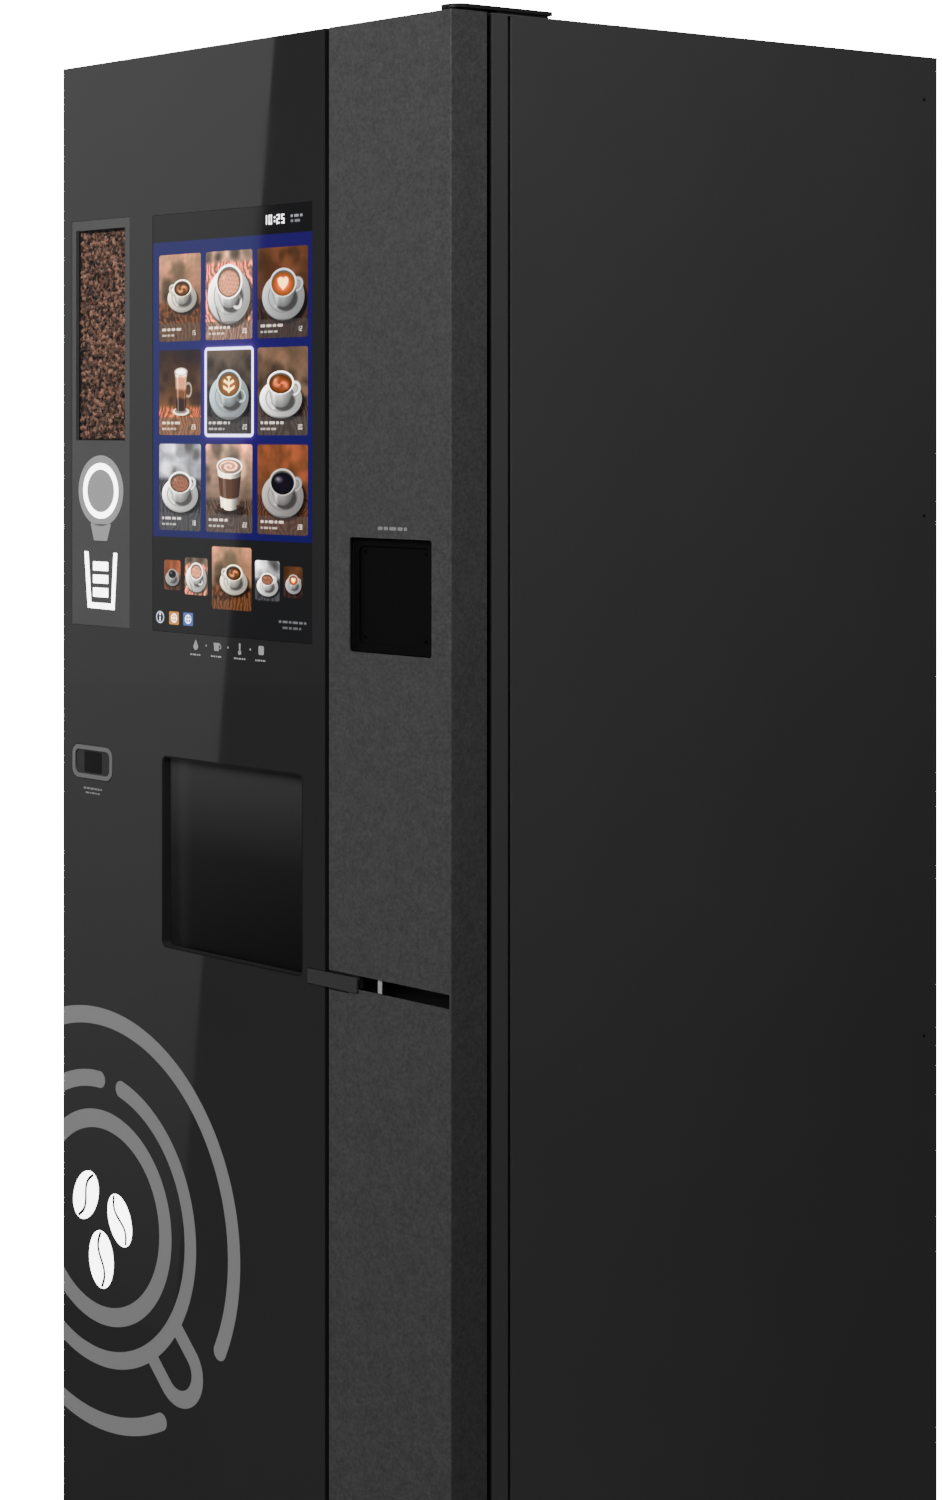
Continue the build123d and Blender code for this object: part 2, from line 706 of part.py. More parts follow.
# ======================= lower bay =======================
def tub(centre, sections, wall, rim_z, rim_outer, rim_inner):
    """Open tapered tub with a rim.

    sections: z and size of the bottom and the top.
    Sizes are x length, y length, corner radius.
    """
    with BuildPart() as piece:
        for z, size in sections:
            with BuildSketch(Plane(origin=(*centre, z))):
                RectangleRounded(*size)
        loft()
        offset(amount=-wall, openings=piece.faces().sort_by(Axis.Z)[-1])
        with BuildSketch(Plane(origin=(*centre, rim_z))):
            RectangleRounded(*rim_outer)
            RectangleRounded(*rim_inner, mode=Mode.SUBTRACT)
        extrude(amount=4)
    return piece.part


def grounds_bin():
    return tub(
        centre=(-200, -115),
        sections=((61, (160, 320, 18)), (470, (184, 344, 20))),
        wall=3,
        rim_z=466,
        rim_outer=(196, 350, 22),
        rim_inner=(178, 338, 18),
    )


def waste_bucket():
    return tub(
        centre=(-45, -170),
        sections=((61, (84, 200, 14)), (340, (98, 224, 16))),
        wall=2.5,
        rim_z=336,
        rim_outer=(106, 234, 18),
        rim_inner=(92, 218, 14),
    )


# Water bottle half-profiles: radius, z
BOTTLE_OUTER = [
    (0, 61), (118, 61), (130, 73), (130, 200), (126, 206), (126, 222), (130, 228),
    (130, 330), (118, 372), (70, 404), (29, 418), (29, 468), (0, 468),
]
BOTTLE_INNER = [
    (0, 63), (117, 63), (128, 74), (128, 199), (124, 205), (124, 223), (128, 229),
    (128, 329), (116, 370), (69, 402), (27, 417), (27, 469), (0, 469),
]


def water_bottle():
    with BuildPart() as piece:
        with BuildSketch(Plane.XZ):
            with BuildLine():
                Polyline(*BOTTLE_OUTER, close=True)
            make_face()
        revolve(axis=Axis.Z)
        with BuildSketch(Plane.XZ):
            with BuildLine():
                Polyline(*BOTTLE_INNER, close=True)
            make_face()
        revolve(axis=Axis.Z, mode=Mode.SUBTRACT)
        # cap with its plug
        rod(0, 0, 474, 32, 14)
        rod(0, 0, 462, 26.5, 14)
        cut_rod(0, 0, 474, 6, 40)
    return piece.part.moved(Location((152, -150, 0)))


def electronics_tray():
    with BuildPart() as piece:
        block(-280, -20, 120, 300, 62, 64)
        # slotted box on four spacers
        block(-270, -130, 130, 290, 68, 188)
        cut_block(-268, -132, 134, 288, 70, 186)
        with Locations((-200, 131, 128)):
            with GridLocations(12, 1, 9, 1):
                Box(5, 6, 80, mode=Mode.SUBTRACT)
        for x in (-262, -138):
            for y in (140, 280):
                rod(x, y, 66, 4, 5)
        # circuit board on spacers, with its components
        block(-110, -30, 130, 290, 72, 74)
        for x in (-104, -36):
            for y in (136, 284):
                rod(x, y, 68, 3, 10)
        block(-100, -76, 150, 186, 74, 92)
        block(-64, -40, 150, 230, 74, 86)
        for i in range(3):
            rod(-88, 210 + i * 24, 84, 8, 22)
    return piece.part


# ======================= fan and back inlets =======================
def fan_frame():
    half, screw = 60, 52.5                  # from the fan's axis
    outline = grow((FAN_X, FAN_X, FAN_Z, FAN_Z), half)
    with BuildPart() as piece:
        front_block(outline, 361, BACK_INNER)
        cut_rod(FAN_X, 374, FAN_Z, 56, 30, "y")
        rod(FAN_X, 384, FAN_Z, 20, 4, "y")
        for i in range(4):
            with Locations(Location((FAN_X, 384, FAN_Z), (0, 45 + 90 * i, 0))):
                with Locations((38, 0, 0)):
                    Box(40, 4, 5)
        for x in (FAN_X - screw, FAN_X + screw):
            for z in (FAN_Z - screw, FAN_Z + screw):
                cut_rod(x, 373, z, 2.2, 30, "y")
        cut_rod(FAN_X, 380, FAN_Z, 3.05, 20, "y")
    return piece.part


def fan_rotor():
    blades = 7
    with BuildPart() as piece:
        rod(FAN_X, 370, FAN_Z, 20, 18, "y")
        rod(FAN_X, 378, FAN_Z, 3.0, 12, "y")
        for i in range(blades):
            with Locations(Location((FAN_X, 370, FAN_Z), (0, i * 360 / blades, 0))):
                with Locations(Location((36, 0, 0), (35, 0, 0))):
                    Box(34, 3, 20)
        # trim the blade tips round
        rod(FAN_X, 370, FAN_Z, 54.5, 40, "y", Mode.INTERSECT)
    return piece.part


def water_inlet():
    with BuildPart() as piece:
        rod(INLET_X, 350, INLET_Z, 12.8, 8, "y")
        rod(INLET_X, 368.25, INLET_Z, 13.2, 31.5, "y")
        with BuildSketch(front_plane(350)):                 # hexagon nut
            with Locations((INLET_X, INLET_Z)):
                RegularPolygon(18, 6)
        extrude(amount=9)
        rod(INLET_X, 330, INLET_Z, 9, 24, "y")
        cut_rod(INLET_X, 352, INLET_Z, 7, 80, "y")
    return piece.part


def power_inlet():
    with BuildPart() as piece:
        front_block(grow(POWER_HOLE, -0.2), 330, 354)
        front_block(grow(POWER_HOLE, 4), 352.2, 355)
        cut_block(-154, -136, 336, 356, 181, 199)           # socket
        cut_block(-130, -118, 340, 356, 181.2, 198.8)       # switch opening
        for x in (-149, -145, -141):                        # contacts
            block(x - 0.8, x + 0.8, 336, 350, 187, 193)
    return piece.part


def rocker_switch():
    # side profile: y, z
    profile = [
        (344, 190), (351, 182.2), (355.8, 184.0), (354.6, 190), (354.6, 197.4), (351, 197.8),
    ]
    with BuildPart() as piece:
        with BuildSketch(Plane.YZ.offset(-129.7)):
            with BuildLine():
                Polyline(*profile, close=True)
            make_face()
        extrude(amount=11.4)
    return piece.part


# ======================= door =======================
def door_shell():
    inner_left, inner_right = LEFT + 22, SHELL_RIGHT - 24
    with BuildPart() as piece:
        block(LEFT, SHELL_RIGHT, SHELL_FRONT, DOOR_BACK, BASE_TOP, TOP)
        cut_block(LEFT + SHEET, SHELL_RIGHT - SHEET, SHELL_FRONT + SHEET, DOOR_BACK - SHEET,
                  BASE_TOP + SHEET, TOP - SHEET)
        cut_block(inner_left, inner_right, DOOR_BACK - 3, DOOR_BACK + 1, BASE_TOP + 22, TOP - 22)
        # openings in the front plate
        for opening in (
            (-154.5, 114.5, SCREEN[2] - 1, SCREEN[3] + 1),
            (-293.5, -204.5, 1388.5, 1633.5),               # window
            grow(PICKUP, 3),
            (-298, -229.5, 990, 1024.5),                    # scanner
            grow(READER, 1),
            (104, 315, 799, 826),                           # lock channel
        ):
            cut_front_block(opening, SHELL_FRONT - 1, SHELL_FRONT + 3)
        # hinge bushings, top and bottom
        bush_heights = (TOP - 10, BASE_TOP + 10)
        for z in bush_heights:
            rod(*PIVOT, z, 10, 16)
        for z in bush_heights:
            cut_rod(*PIVOT, z, BUSH_R, 30)
        # stiffeners across the back
        for x1, z0, z1 in ((inner_right, 1100, 1140), (inner_right, 540, 580), (84, 764, 794)):
            block(inner_left, x1, DOOR_BACK - SHEET, DOOR_BACK, z0, z1)
        # latch guide brackets
        for x in (-240, -160, 60):
            block(x, x + 14, DOOR_BACK - 2, -292, 774, 778)
            block(x, x + 14, -296, -292, 774, 800)
            block(x, x + 14, -315, -311, 774, 800)
            block(x, x + 14, DOOR_BACK - 2, -311, 774, 778)
    return piece.part


def front_glass():
    gap = 0.3                               # round each inset part
    with BuildPart() as piece:
        block(LEFT, GLASS_RIGHT, FRONT, SHELL_FRONT - 0.05, BASE_TOP, TOP)
        for opening, radius in ((SCREEN, 0.25), (PLATE, 0.25), (SCANNER, 12), (PICKUP, 8)):
            with BuildSketch(front_plane(FRONT - 1)):
                rounded_outline(grow(opening, gap), radius)
            extrude(amount=-8, mode=Mode.SUBTRACT)
        cover_x0, _, cover_z0, cover_z1 = grow(COVER, 2 * gap)
        cut_block(cover_x0, GLASS_RIGHT + 1, FRONT - 1, FRONT + 7, cover_z0, cover_z1)
        chamfer(edges_at(piece, Axis.Z, Axis.Y, FRONT).sort_by(Axis.X)[0], 0.8)
        chamfer(edges_at(piece, Axis.X, Axis.Y, FRONT).sort_by(Axis.Z)[-1], 0.8)
    return piece.part


def column_panel():
    """Folded metal column with the finger groove."""
    left = COLUMN_LEFT
    cover_z0, cover_z1 = grow(COVER, 0.6)[2:]
    with BuildPart() as piece:
        block(left, RIGHT, FRONT, FRONT + SHEET, BASE_TOP, TOP)
        block(SIDE_INNER, RIGHT, FRONT, DOOR_BACK, BASE_TOP, TOP)
        block(left, left + SHEET, FRONT, FRONT + 5.9, BASE_TOP, TOP)
        block(SIDE_INNER, RIGHT, DOOR_BACK - SHEET, DOOR_BACK, BASE_TOP, TOP)
        corner = edges_at(piece, Axis.Z, Axis.X, RIGHT)
        fillet(corner.filter_by_position(Axis.Y, FRONT - 0.1, FRONT + 0.1), 1.9)
        with BuildSketch(front_plane(FRONT - 1)):
            rounded_outline(READER, 3.5)
        extrude(amount=-5, mode=Mode.SUBTRACT)
        # finger groove, then the recess and notch for the sliding cover
        cut_block(left - 1, GROOVE[1], FRONT - 1, FRONT + 7, GROOVE[2], GROOVE[3])
        cut_block(left - 1, COVER[1] + 29, FRONT - 1, FRONT + 1.3, cover_z0, cover_z1)
        cut_block(left - 1, left + 3, FRONT - 1, FRONT + 7, cover_z0, GROOVE[3])
    return piece.part


def lock_channel():
    """Trough behind the finger groove, with the lock boss."""
    outline = (105, 314, 800, 825)
    floor_front = -383.9
    with BuildPart() as piece:
        front_block(outline, FRONT + 5.95, -366)
        cut_front_block(grow(outline, -2), FRONT + 4, -368)
        # floor under the sliding cover
        block(106.2, 139, floor_front, -381, 801, 824)
        rod(LOCK_X, -366, LOCK_Z, 9, 8, "y")
        cut_rod(LOCK_X, -375, LOCK_Z, 6.05, 60, "y")
        # stop for the cover
        block(211.8, 217.8, floor_front, -367, 801, 824)
        block(211.8, 217.8, -387.6, -383, 807.4, 821.9)
    return piece.part


def lock_cover():
    with BuildPart() as piece:
        front_block(COVER, FRONT - 1.4, FRONT + 1.2)
        fillet(piece.edges().filter_by(Axis.Y), 1.5)
        # neck and foot behind the cover
        block(150, 180, FRONT + 1.2, FRONT + 8, 808.6, 817)
        block(146, 182, FRONT + 4, FRONT + 10, 807.8, 821.4)
    return piece.part


def lock_cylinder():
    with BuildPart() as piece:
        rod(LOCK_X, -370, LOCK_Z, 6.0, 30, "y")
        cut_block(120.3, 121.7, -386, -381, 807.5, 815.2)   # key slot
        rod(LOCK_X, -352, LOCK_Z, 3.5, 10, "y")
        with BuildSketch(front_plane(-349)):                # cam
            with Locations((LOCK_X + 12, LOCK_Z)):
                SlotOverall(38, 12)
        extrude(amount=3)
    return piece.part


def latch_bar():
    with BuildPart() as piece:
        block(-292, 120, -304, -301, 779, 793)
        block(-292, -262, -308.5, -304, 779, 793)
        # arm forward to the lock
        block(106, 120, -345, -301, 783, 787)
        block(106, 110, -345, -340, 783, 793)
    return piece.part


def display_module():
    x0, x1, z0, z1 = SCREEN
    with BuildPart() as piece:
        front_block(SCREEN, FRONT + 0.4, -380)
        block(-162, 122, BEHIND_SHELL, -352, z0 - 9, z1 + 9)
        block(-100, 60, -352, -340, 1280, 1560)             # slotted box on the back
        with Locations((-20, -340, 1420)):
            with GridLocations(14, 1, 10, 1):
                Box(6, 6, 220, mode=Mode.SUBTRACT)
        block(-60, 20, -352, -338, 1190, 1250)
    return piece.part


def window_plate():
    with BuildPart() as piece:
        front_block(PLATE, FRONT + 0.2, FRONT + 5.9)
        cut_front_block(WINDOW, FRONT - 1, FRONT + 7)
    return piece.part


def window_pane():
    with BuildPart() as piece:
        front_block(grow(WINDOW, -0.1), FRONT + 0.9, FRONT + 3.9)
    return piece.part


def pickup_bezel():
    """Ring round the pick-up opening, with the flap's guide rails and frame."""
    bottom, top = 584, 1042
    rail_back = -369.5
    with BuildPart() as piece:
        with BuildSketch(front_plane(FRONT + 0.3)):
            rounded_outline(PICKUP, 7.7)
            rounded_outline(grow(PICKUP, -1.5), 6.2, Mode.SUBTRACT)
        extrude(amount=-10.7)
        # left then right rail: web, front lip, back lip
        for x0, x1, y0, y1 in (
            (-149, -146.3, BEHIND_SHELL, rail_back),
            (-147, -142.5, BEHIND_SHELL, -378),
            (-147, -143.5, -371, rail_back),
            (101.6, 104.2, BEHIND_SHELL, rail_back),
            (99.5, 102, BEHIND_SHELL, -378),
            (99.5, 102, -371, rail_back),
        ):
            block(x0, x1, y0, y1, bottom, top)
        # top and bottom ties
        block(-149, 104.2, BEHIND_SHELL, -378, 1030, top)
        block(-149, 104.2, BEHIND_SHELL, -378, bottom, 590)
        # frame round the opening
        for outline in (
            (-147, -136, 796, top), (98, 102, 796, top),
            (-147, 102, 796, 808), (-147, 102, 1027, top),
        ):
            front_block(outline, BEHIND_SHELL, -379)
    return piece.part


def pickup_flap():
    """Sliding flap with a rack along its left edge."""
    x0, x1, z0, z1 = FLAP
    pitch = math.pi * RACK_MODULE
    half_tooth = pitch / 4 - BACKLASH / 4   # half thickness on the pitch line
    addendum, dedendum = RACK_MODULE, 1.25 * RACK_MODULE
    slope = math.tan(PRESSURE_ANGLE)
    tooth_count = int((z1 - z0 - 6) / pitch)
    with BuildPart() as piece:
        block(x0, x1, -377.5, -373.5, z0, z1)
        # raised border on the back
        block(x0 + 12, x1 - 12, -373.5, -371.8, 812, 1024)
        cut_block(x0 + 15, x1 - 15, -373.6, -371, 815, 1021)
        block(-141.5, -131, -373.5, -361, z0, z1)           # rib that carries the rack
        with BuildSketch(front_plane(-368)):
            for i in range(tooth_count + 1):
                z = PINION_Z - 2 * pitch + i * pitch
                if z + pitch / 2 > z1 or z - pitch / 2 < z0:
                    continue
                with BuildLine():
                    Polyline(
                        (RACK_X + dedendum, z - half_tooth - dedendum * slope),
                        (RACK_X - addendum, z - half_tooth + addendum * slope),
                        (RACK_X - addendum, z + half_tooth - addendum * slope),
                        (RACK_X + dedendum, z + half_tooth + dedendum * slope),
                        close=True,
                    )
                make_face()
        extrude(amount=-7)
        block(RACK_X + 1.8, -141, -368, -361, z0, z1)
    return piece.part


def pinion_outline():
    """Involute gear outline about its own centre."""
    base_r = PITCH_R * math.cos(PRESSURE_ANGLE)
    tip_r = PITCH_R + RACK_MODULE
    root_r = PITCH_R - 1.25 * RACK_MODULE
    pitch_involute = math.tan(PRESSURE_ANGLE) - PRESSURE_ANGLE
    half_angle = math.pi / (2 * PINION_TEETH) - BACKLASH / (4 * PITCH_R)
    flank = []                              # radius, angle from the tooth's middle
    for step in range(7):
        radius = base_r + (tip_r - base_r) * step / 6
        roll = math.sqrt(max((radius / base_r) ** 2 - 1, 0))
        flank.append((radius, half_angle + pitch_involute - (roll - math.atan(roll))))
    root = flank[0][1] + 0.01
    polar = []
    for tooth in range(PINION_TEETH):
        # a gap faces the rack pitch point so that a rack tooth sits in it
        centre = (tooth + 0.5) * 2 * math.pi / PINION_TEETH
        polar.append((root_r, centre - root))
        polar += [(radius, centre - angle) for radius, angle in flank]
        polar += [(radius, centre + angle) for radius, angle in reversed(flank)]
        polar.append((root_r, centre + root))
    return [(radius * math.cos(angle), radius * math.sin(angle)) for radius, angle in polar]


def flap_pinion():
    with BuildPart() as piece:
        with BuildSketch(front_plane(-367.5, PINION_X, PINION_Z)):
            with BuildLine():
                Polyline(*pinion_outline(), close=True)
            make_face()
        extrude(amount=-6)
        rod(PINION_X, -363, PINION_Z, 3.0, 18, "y")
        rod(PINION_X, -360.5, PINION_Z, 6, 3, "y")
    return piece.part


def flap_motor():
    x, z = PINION_X, PINION_Z
    with BuildPart() as piece:
        block(x - 17, x + 17, -358.5, -356, z - 22, z + 40)
        rod(x, -346, z, 14, 22, "y")
        block(x - 12, x + 12, -356, -336, z + 12, z + 36)
        block(x - 24, x - 17, BEHIND_SHELL, -356, z + 20, z + 40)
        cut_rod(x, -354, z, 3.05, 10, "y")
    return piece.part


def cup_chute():
    """Sleeve behind the pick-up opening, with left and top tabs."""
    x0, x1, z0, z1 = PICKUP
    with BuildPart() as piece:
        block(x0 - 3, x1 + 2.5, -359, -300, z0 - 4, z1 + 4)
        cut_front_block(PICKUP, -360, -299)
        inner = piece.edges().filter_by(Axis.Y).filter_by_position(Axis.X, x0 - 0.1, x1 + 0.1)
        fillet(inner.filter_by_position(Axis.Z, z0 - 0.1, z1 + 0.1), 8)
        block(x0 - 13, x0 - 3, -343, -339, z0 + 60, z1 - 20)
        block(-120, 80, -343, -339, z1 + 4, z1 + 16)
    return piece.part


def scanner():
    with BuildPart() as piece:
        with BuildSketch(front_plane(FRONT)):
            rounded_outline(SCANNER, 11.7)
        extrude(amount=-5.9)
        with BuildSketch(front_plane(FRONT - 0.1)):
            rounded_outline(grow(SCANNER, -4.5), 8)
        extrude(amount=-2.1, mode=Mode.SUBTRACT)
        block(-297, -230.5, -385, -345, 991, 1023.5)
        block(-292, -236, -345, -330, 995, 1019)
    return piece.part


def card_reader():
    x0, x1, z0, z1 = READER
    screw_inset = 15.4
    with BuildPart() as piece:
        with BuildSketch(front_plane(FRONT + 6)):
            rounded_outline(grow(READER, -0.3), 3.2)
        extrude(amount=-40)
        with BuildSketch(front_plane(FRONT + 5)):
            with Locations(middle(READER)):
                RectangleRounded(104, 104, 6)
        extrude(amount=-7, mode=Mode.SUBTRACT)
        block(168, 296, BEHIND_SHELL, -378, z0 - 6, z1 + 6)
        block(205, 260, -344, -326, 1190, 1260)
        # fixing holes for the reader's own screws
        for x in (x0 + screw_inset, x1 - screw_inset):
            for z in (z0 + screw_inset, z1 - screw_inset):
                cut_rod(x, -376, z, 2.1, 30, "y")
    return piece.part


def door_gasket():
    with BuildPart() as piece:
        with BuildSketch(front_plane(DOOR_BACK)):
            with Locations((0, (BASE_TOP + TOP) / 2)):
                RectangleRounded(614, 1742, 10)
                RectangleRounded(598, 1726, 4, mode=Mode.SUBTRACT)
        extrude(amount=-4.5)
    return piece.part


def panel_screws():
    """Slotted heads on the back panel."""
    spots = [(x, z) for z in (150, 500, 900, 1400, 1700) for x in (-298, 298)]
    spots += [(x, z) for x in (-150, 0, 150) for z in (80, 1808)]
    with BuildPart() as piece:
        for x, z in spots:
            rod(x, 388.7, z, 4.0, 1.4, "y")
            with Locations(Location((x, 389.4, z), (90, 0, 0))):
                Box(5, 1, 0.9, mode=Mode.SUBTRACT)
    return piece.part


# ======================= build and export =======================
# Each piece's file takes its function's name.
for build in (
    frame_weldment, levelling_feet, front_frame, back_panel, top_panel, door_hinges, deck,
    bean_hopper, hopper_lid, grinder_housing, grinder_burr, brewer_frame, brew_piston,
    boiler, pump, auger_motors, mixer_bowl,
    cup_turret, drop_ring, cup_arm, drip_tray, drip_grille, station_liner, dispense_head,
    grounds_bin, waste_bucket, water_bottle, electronics_tray,
    fan_frame, fan_rotor, water_inlet, power_inlet, rocker_switch,
    door_shell, front_glass, column_panel, lock_channel, lock_cover, lock_cylinder,
    latch_bar, display_module, window_plate, window_pane, pickup_bezel, pickup_flap,
    flap_pinion, flap_motor, cup_chute, scanner, card_reader, door_gasket, panel_screws,
):
    save(build(), build.__name__)

save(side_panel(-1), "side_panel_left")
save(side_panel(1), "side_panel_right")

for number, canister_x in enumerate(CANISTERS_X, start=1):
    for build in (canister, auger, whipper):
        save(build(canister_x), f"{build.__name__}_{number}")
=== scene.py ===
import bpy, bmesh, math, random
import numpy as np
from mathutils import Vector, Matrix, Euler


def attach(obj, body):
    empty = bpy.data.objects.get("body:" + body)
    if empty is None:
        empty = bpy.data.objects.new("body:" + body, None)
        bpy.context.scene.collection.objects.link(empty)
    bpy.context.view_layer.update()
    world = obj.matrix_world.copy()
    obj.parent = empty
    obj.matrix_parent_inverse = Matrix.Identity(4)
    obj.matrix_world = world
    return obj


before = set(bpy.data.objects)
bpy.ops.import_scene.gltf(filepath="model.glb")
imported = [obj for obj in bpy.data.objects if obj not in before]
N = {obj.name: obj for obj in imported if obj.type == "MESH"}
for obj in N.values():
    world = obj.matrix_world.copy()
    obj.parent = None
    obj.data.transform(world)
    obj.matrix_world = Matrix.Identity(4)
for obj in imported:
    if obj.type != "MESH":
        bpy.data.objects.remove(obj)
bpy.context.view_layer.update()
rng = random.Random(41)
npr = np.random.RandomState(41)

MM = 0.001
YF = -0.390                      # front plane of the door
TOP = 1.830


# ------------------------------------------------------------------ materials
def lin(v):
    """sRGB 0-255 grey or triple to linear."""
    if isinstance(v, (int, float)):
        v = (v, v, v)
    out = []
    for c in v:
        c = c / 255.0
        out.append(c / 12.92 if c <= 0.04045 else ((c + 0.055) / 1.055) ** 2.4)
    return tuple(out)


# scene light needed for a shown grey level under the factory view
TONE_D = np.array([0, 4, 9, 14.5, 19, 24.5, 30, 36, 43, 51, 61, 72, 84, 98, 113, 128, 143, 156, 170, 181, 192, 201, 209, 218, 224, 230, 235, 240, 245, 249, 253])
TONE_L = np.array([0.0002, 0.00258, 0.00515, 0.00781, 0.01031, 0.0136, 0.01795, 0.02368, 0.03125, 0.04123, 0.05441, 0.07179, 0.09473, 0.125, 0.16494,
                   0.21764, 0.28717, 0.37893, 0.5, 0.65975, 0.87055, 1.1487, 1.51572, 2.0, 2.63902, 3.4822, 4.59479, 6.06287, 8.0, 10.556, 13.929])
TONE_M = np.array([[1.01, -0.02, 0.006], [-0.05, 1.125, 0.004], [0.029, -0.103, 0.98]])


def shown(img):
    """Display colours 0-1 to scene light."""
    g = np.exp(np.interp(np.clip(img, 0, 1) * 255.0, TONE_D, np.log(TONE_L)))
    return np.clip(g @ TONE_M, 0.0001, 5.0)


class Mat:
    def __init__(self, name):
        self.m = bpy.data.materials.new(name)
        self.m.use_nodes = True
        self.t = self.m.node_tree
        self.t.nodes.clear()
        self.out = self.t.nodes.new("ShaderNodeOutputMaterial")
        self.tc = self.t.nodes.new("ShaderNodeTexCoord")

    def n(self, kind, **kw):
        node = self.t.nodes.new(kind)
        for k, v in kw.items():
            if k.startswith("_"):
                setattr(node, k[1:], v)
            else:
                node.inputs[k.replace("__", " ")].default_value = v
        return node

    def l(self, a, b):
        self.t.links.new(a, b)

    def noise(self, scale, detail=2.0, rough=0.5, stretch=None):
        no = self.n("ShaderNodeTexNoise")
        no.inputs["Scale"].default_value = scale
        no.inputs["Detail"].default_value = detail
        no.inputs["Roughness"].default_value = rough
        if stretch:
            mp = self.n("ShaderNodeMapping")
            mp.inputs["Scale"].default_value = stretch
            self.l(self.tc.outputs["Object"], mp.inputs["Vector"])
            self.l(mp.outputs["Vector"], no.inputs["Vector"])
        else:
            self.l(self.tc.outputs["Object"], no.inputs["Vector"])
        return no

    def remap(self, sock, a, b, lo=0.0, hi=1.0):
        r = self.n("ShaderNodeMapRange")
        r.inputs["From Min"].default_value = a
        r.inputs["From Max"].default_value = b
        r.inputs["To Min"].default_value = lo
        r.inputs["To Max"].default_value = hi
        self.l(sock, r.inputs["Value"])
        return r.outputs["Result"]


def surface(name, base, rough=0.5, metal=0.0, grain=0.0, grain_scale=900.0, grain_dist=0.0001,
            var=0.12, var_scale=5.0, rough_var=0.08, rough_scale=14.0, coat=0.0, coat_rough=0.1,
            stretch=None, spec=0.5, emit=None, emit_strength=1.0, alpha=1.0, grime=0.0):
    M = Mat(name)
    p = M.n("ShaderNodeBsdfPrincipled")
    p.inputs["Metallic"].default_value = metal
    p.inputs["Specular IOR Level"].default_value = spec
    p.inputs["Coat Weight"].default_value = coat
    p.inputs["Coat Roughness"].default_value = coat_rough
    if alpha < 1:
        p.inputs["Alpha"].default_value = alpha
    # colour: slow drift plus fine speckle
    n1 = M.noise(var_scale, 4.0, 0.6)
    f = M.remap(n1.outputs["Fac"], 0.3, 0.7, 1.0 - var, 1.0 + var)
    mul = M.n("ShaderNodeVectorMath", _operation="SCALE")
    mul.inputs[0].default_value = base[:3]
    M.l(f, mul.inputs["Scale"])
    col = mul.outputs["Vector"]
    if grain > 0:
        n3 = M.noise(grain_scale * 0.6, 2.0, 0.6, stretch)
        f3 = M.remap(n3.outputs["Fac"], 0.3, 0.7, 1.0 - 0.25 * min(grain, 1), 1.0 + 0.25 * min(grain, 1))
        mul2 = M.n("ShaderNodeVectorMath", _operation="SCALE")
        M.l(col, mul2.inputs[0])
        M.l(f3, mul2.inputs["Scale"])
        col = mul2.outputs["Vector"]
    M.l(col, p.inputs["Base Color"])
    n2 = M.noise(rough_scale, 5.0, 0.65, stretch)
    M.l(M.remap(n2.outputs["Fac"], 0.3, 0.7, max(rough - rough_var, 0.01), min(rough + rough_var, 1.0)), p.inputs["Roughness"])
    if grain > 0:
        g = M.noise(grain_scale, 3.0, 0.55, stretch)
        b = M.n("ShaderNodeBump")
        b.inputs["Strength"].default_value = grain
        b.inputs["Distance"].default_value = grain_dist
        M.l(g.outputs["Fac"], b.inputs["Height"])
        M.l(b.outputs["Normal"], p.inputs["Normal"])
    if emit:
        p.inputs["Emission Color"].default_value = (*emit, 1)
        p.inputs["Emission Strength"].default_value = emit_strength
    M.l(p.outputs["BSDF"], M.out.inputs["Surface"])
    M.p = p
    return M.m


def paint_light_ramp(mat, z0, z1, f0, f1, y0=None, y1=None, g0=1.0, g1=1.0):
    """Painted light and shade: scales a surface()'s colour from f0 at height z0 to f1 at z1, and along y."""
    t = mat.node_tree
    p = next(n for n in t.nodes if n.type == "BSDF_PRINCIPLED")
    src = p.inputs["Base Color"].links[0].from_socket
    geo = t.nodes.new("ShaderNodeNewGeometry")
    sep = t.nodes.new("ShaderNodeSeparateXYZ")
    t.links.new(geo.outputs["Position"], sep.inputs[0])

    def rng_(sock, a, b, lo, hi):
        r = t.nodes.new("ShaderNodeMapRange")
        r.inputs["From Min"].default_value, r.inputs["From Max"].default_value = a, b
        r.inputs["To Min"].default_value, r.inputs["To Max"].default_value = lo, hi
        t.links.new(sock, r.inputs["Value"])
        return r.outputs["Result"]

    k = rng_(sep.outputs["Z"], z0, z1, f0, f1)
    if y0 is not None:
        k2 = rng_(sep.outputs["Y"], y0, y1, g0, g1)
        m = t.nodes.new("ShaderNodeMath")
        m.operation = "MULTIPLY"
        t.links.new(k, m.inputs[0])
        t.links.new(k2, m.inputs[1])
        k = m.outputs[0]
    sc = t.nodes.new("ShaderNodeVectorMath")
    sc.operation = "SCALE"
    t.links.new(src, sc.inputs[0])
    t.links.new(k, sc.inputs["Scale"])
    t.links.new(sc.outputs["Vector"], p.inputs["Base Color"])
    return mat


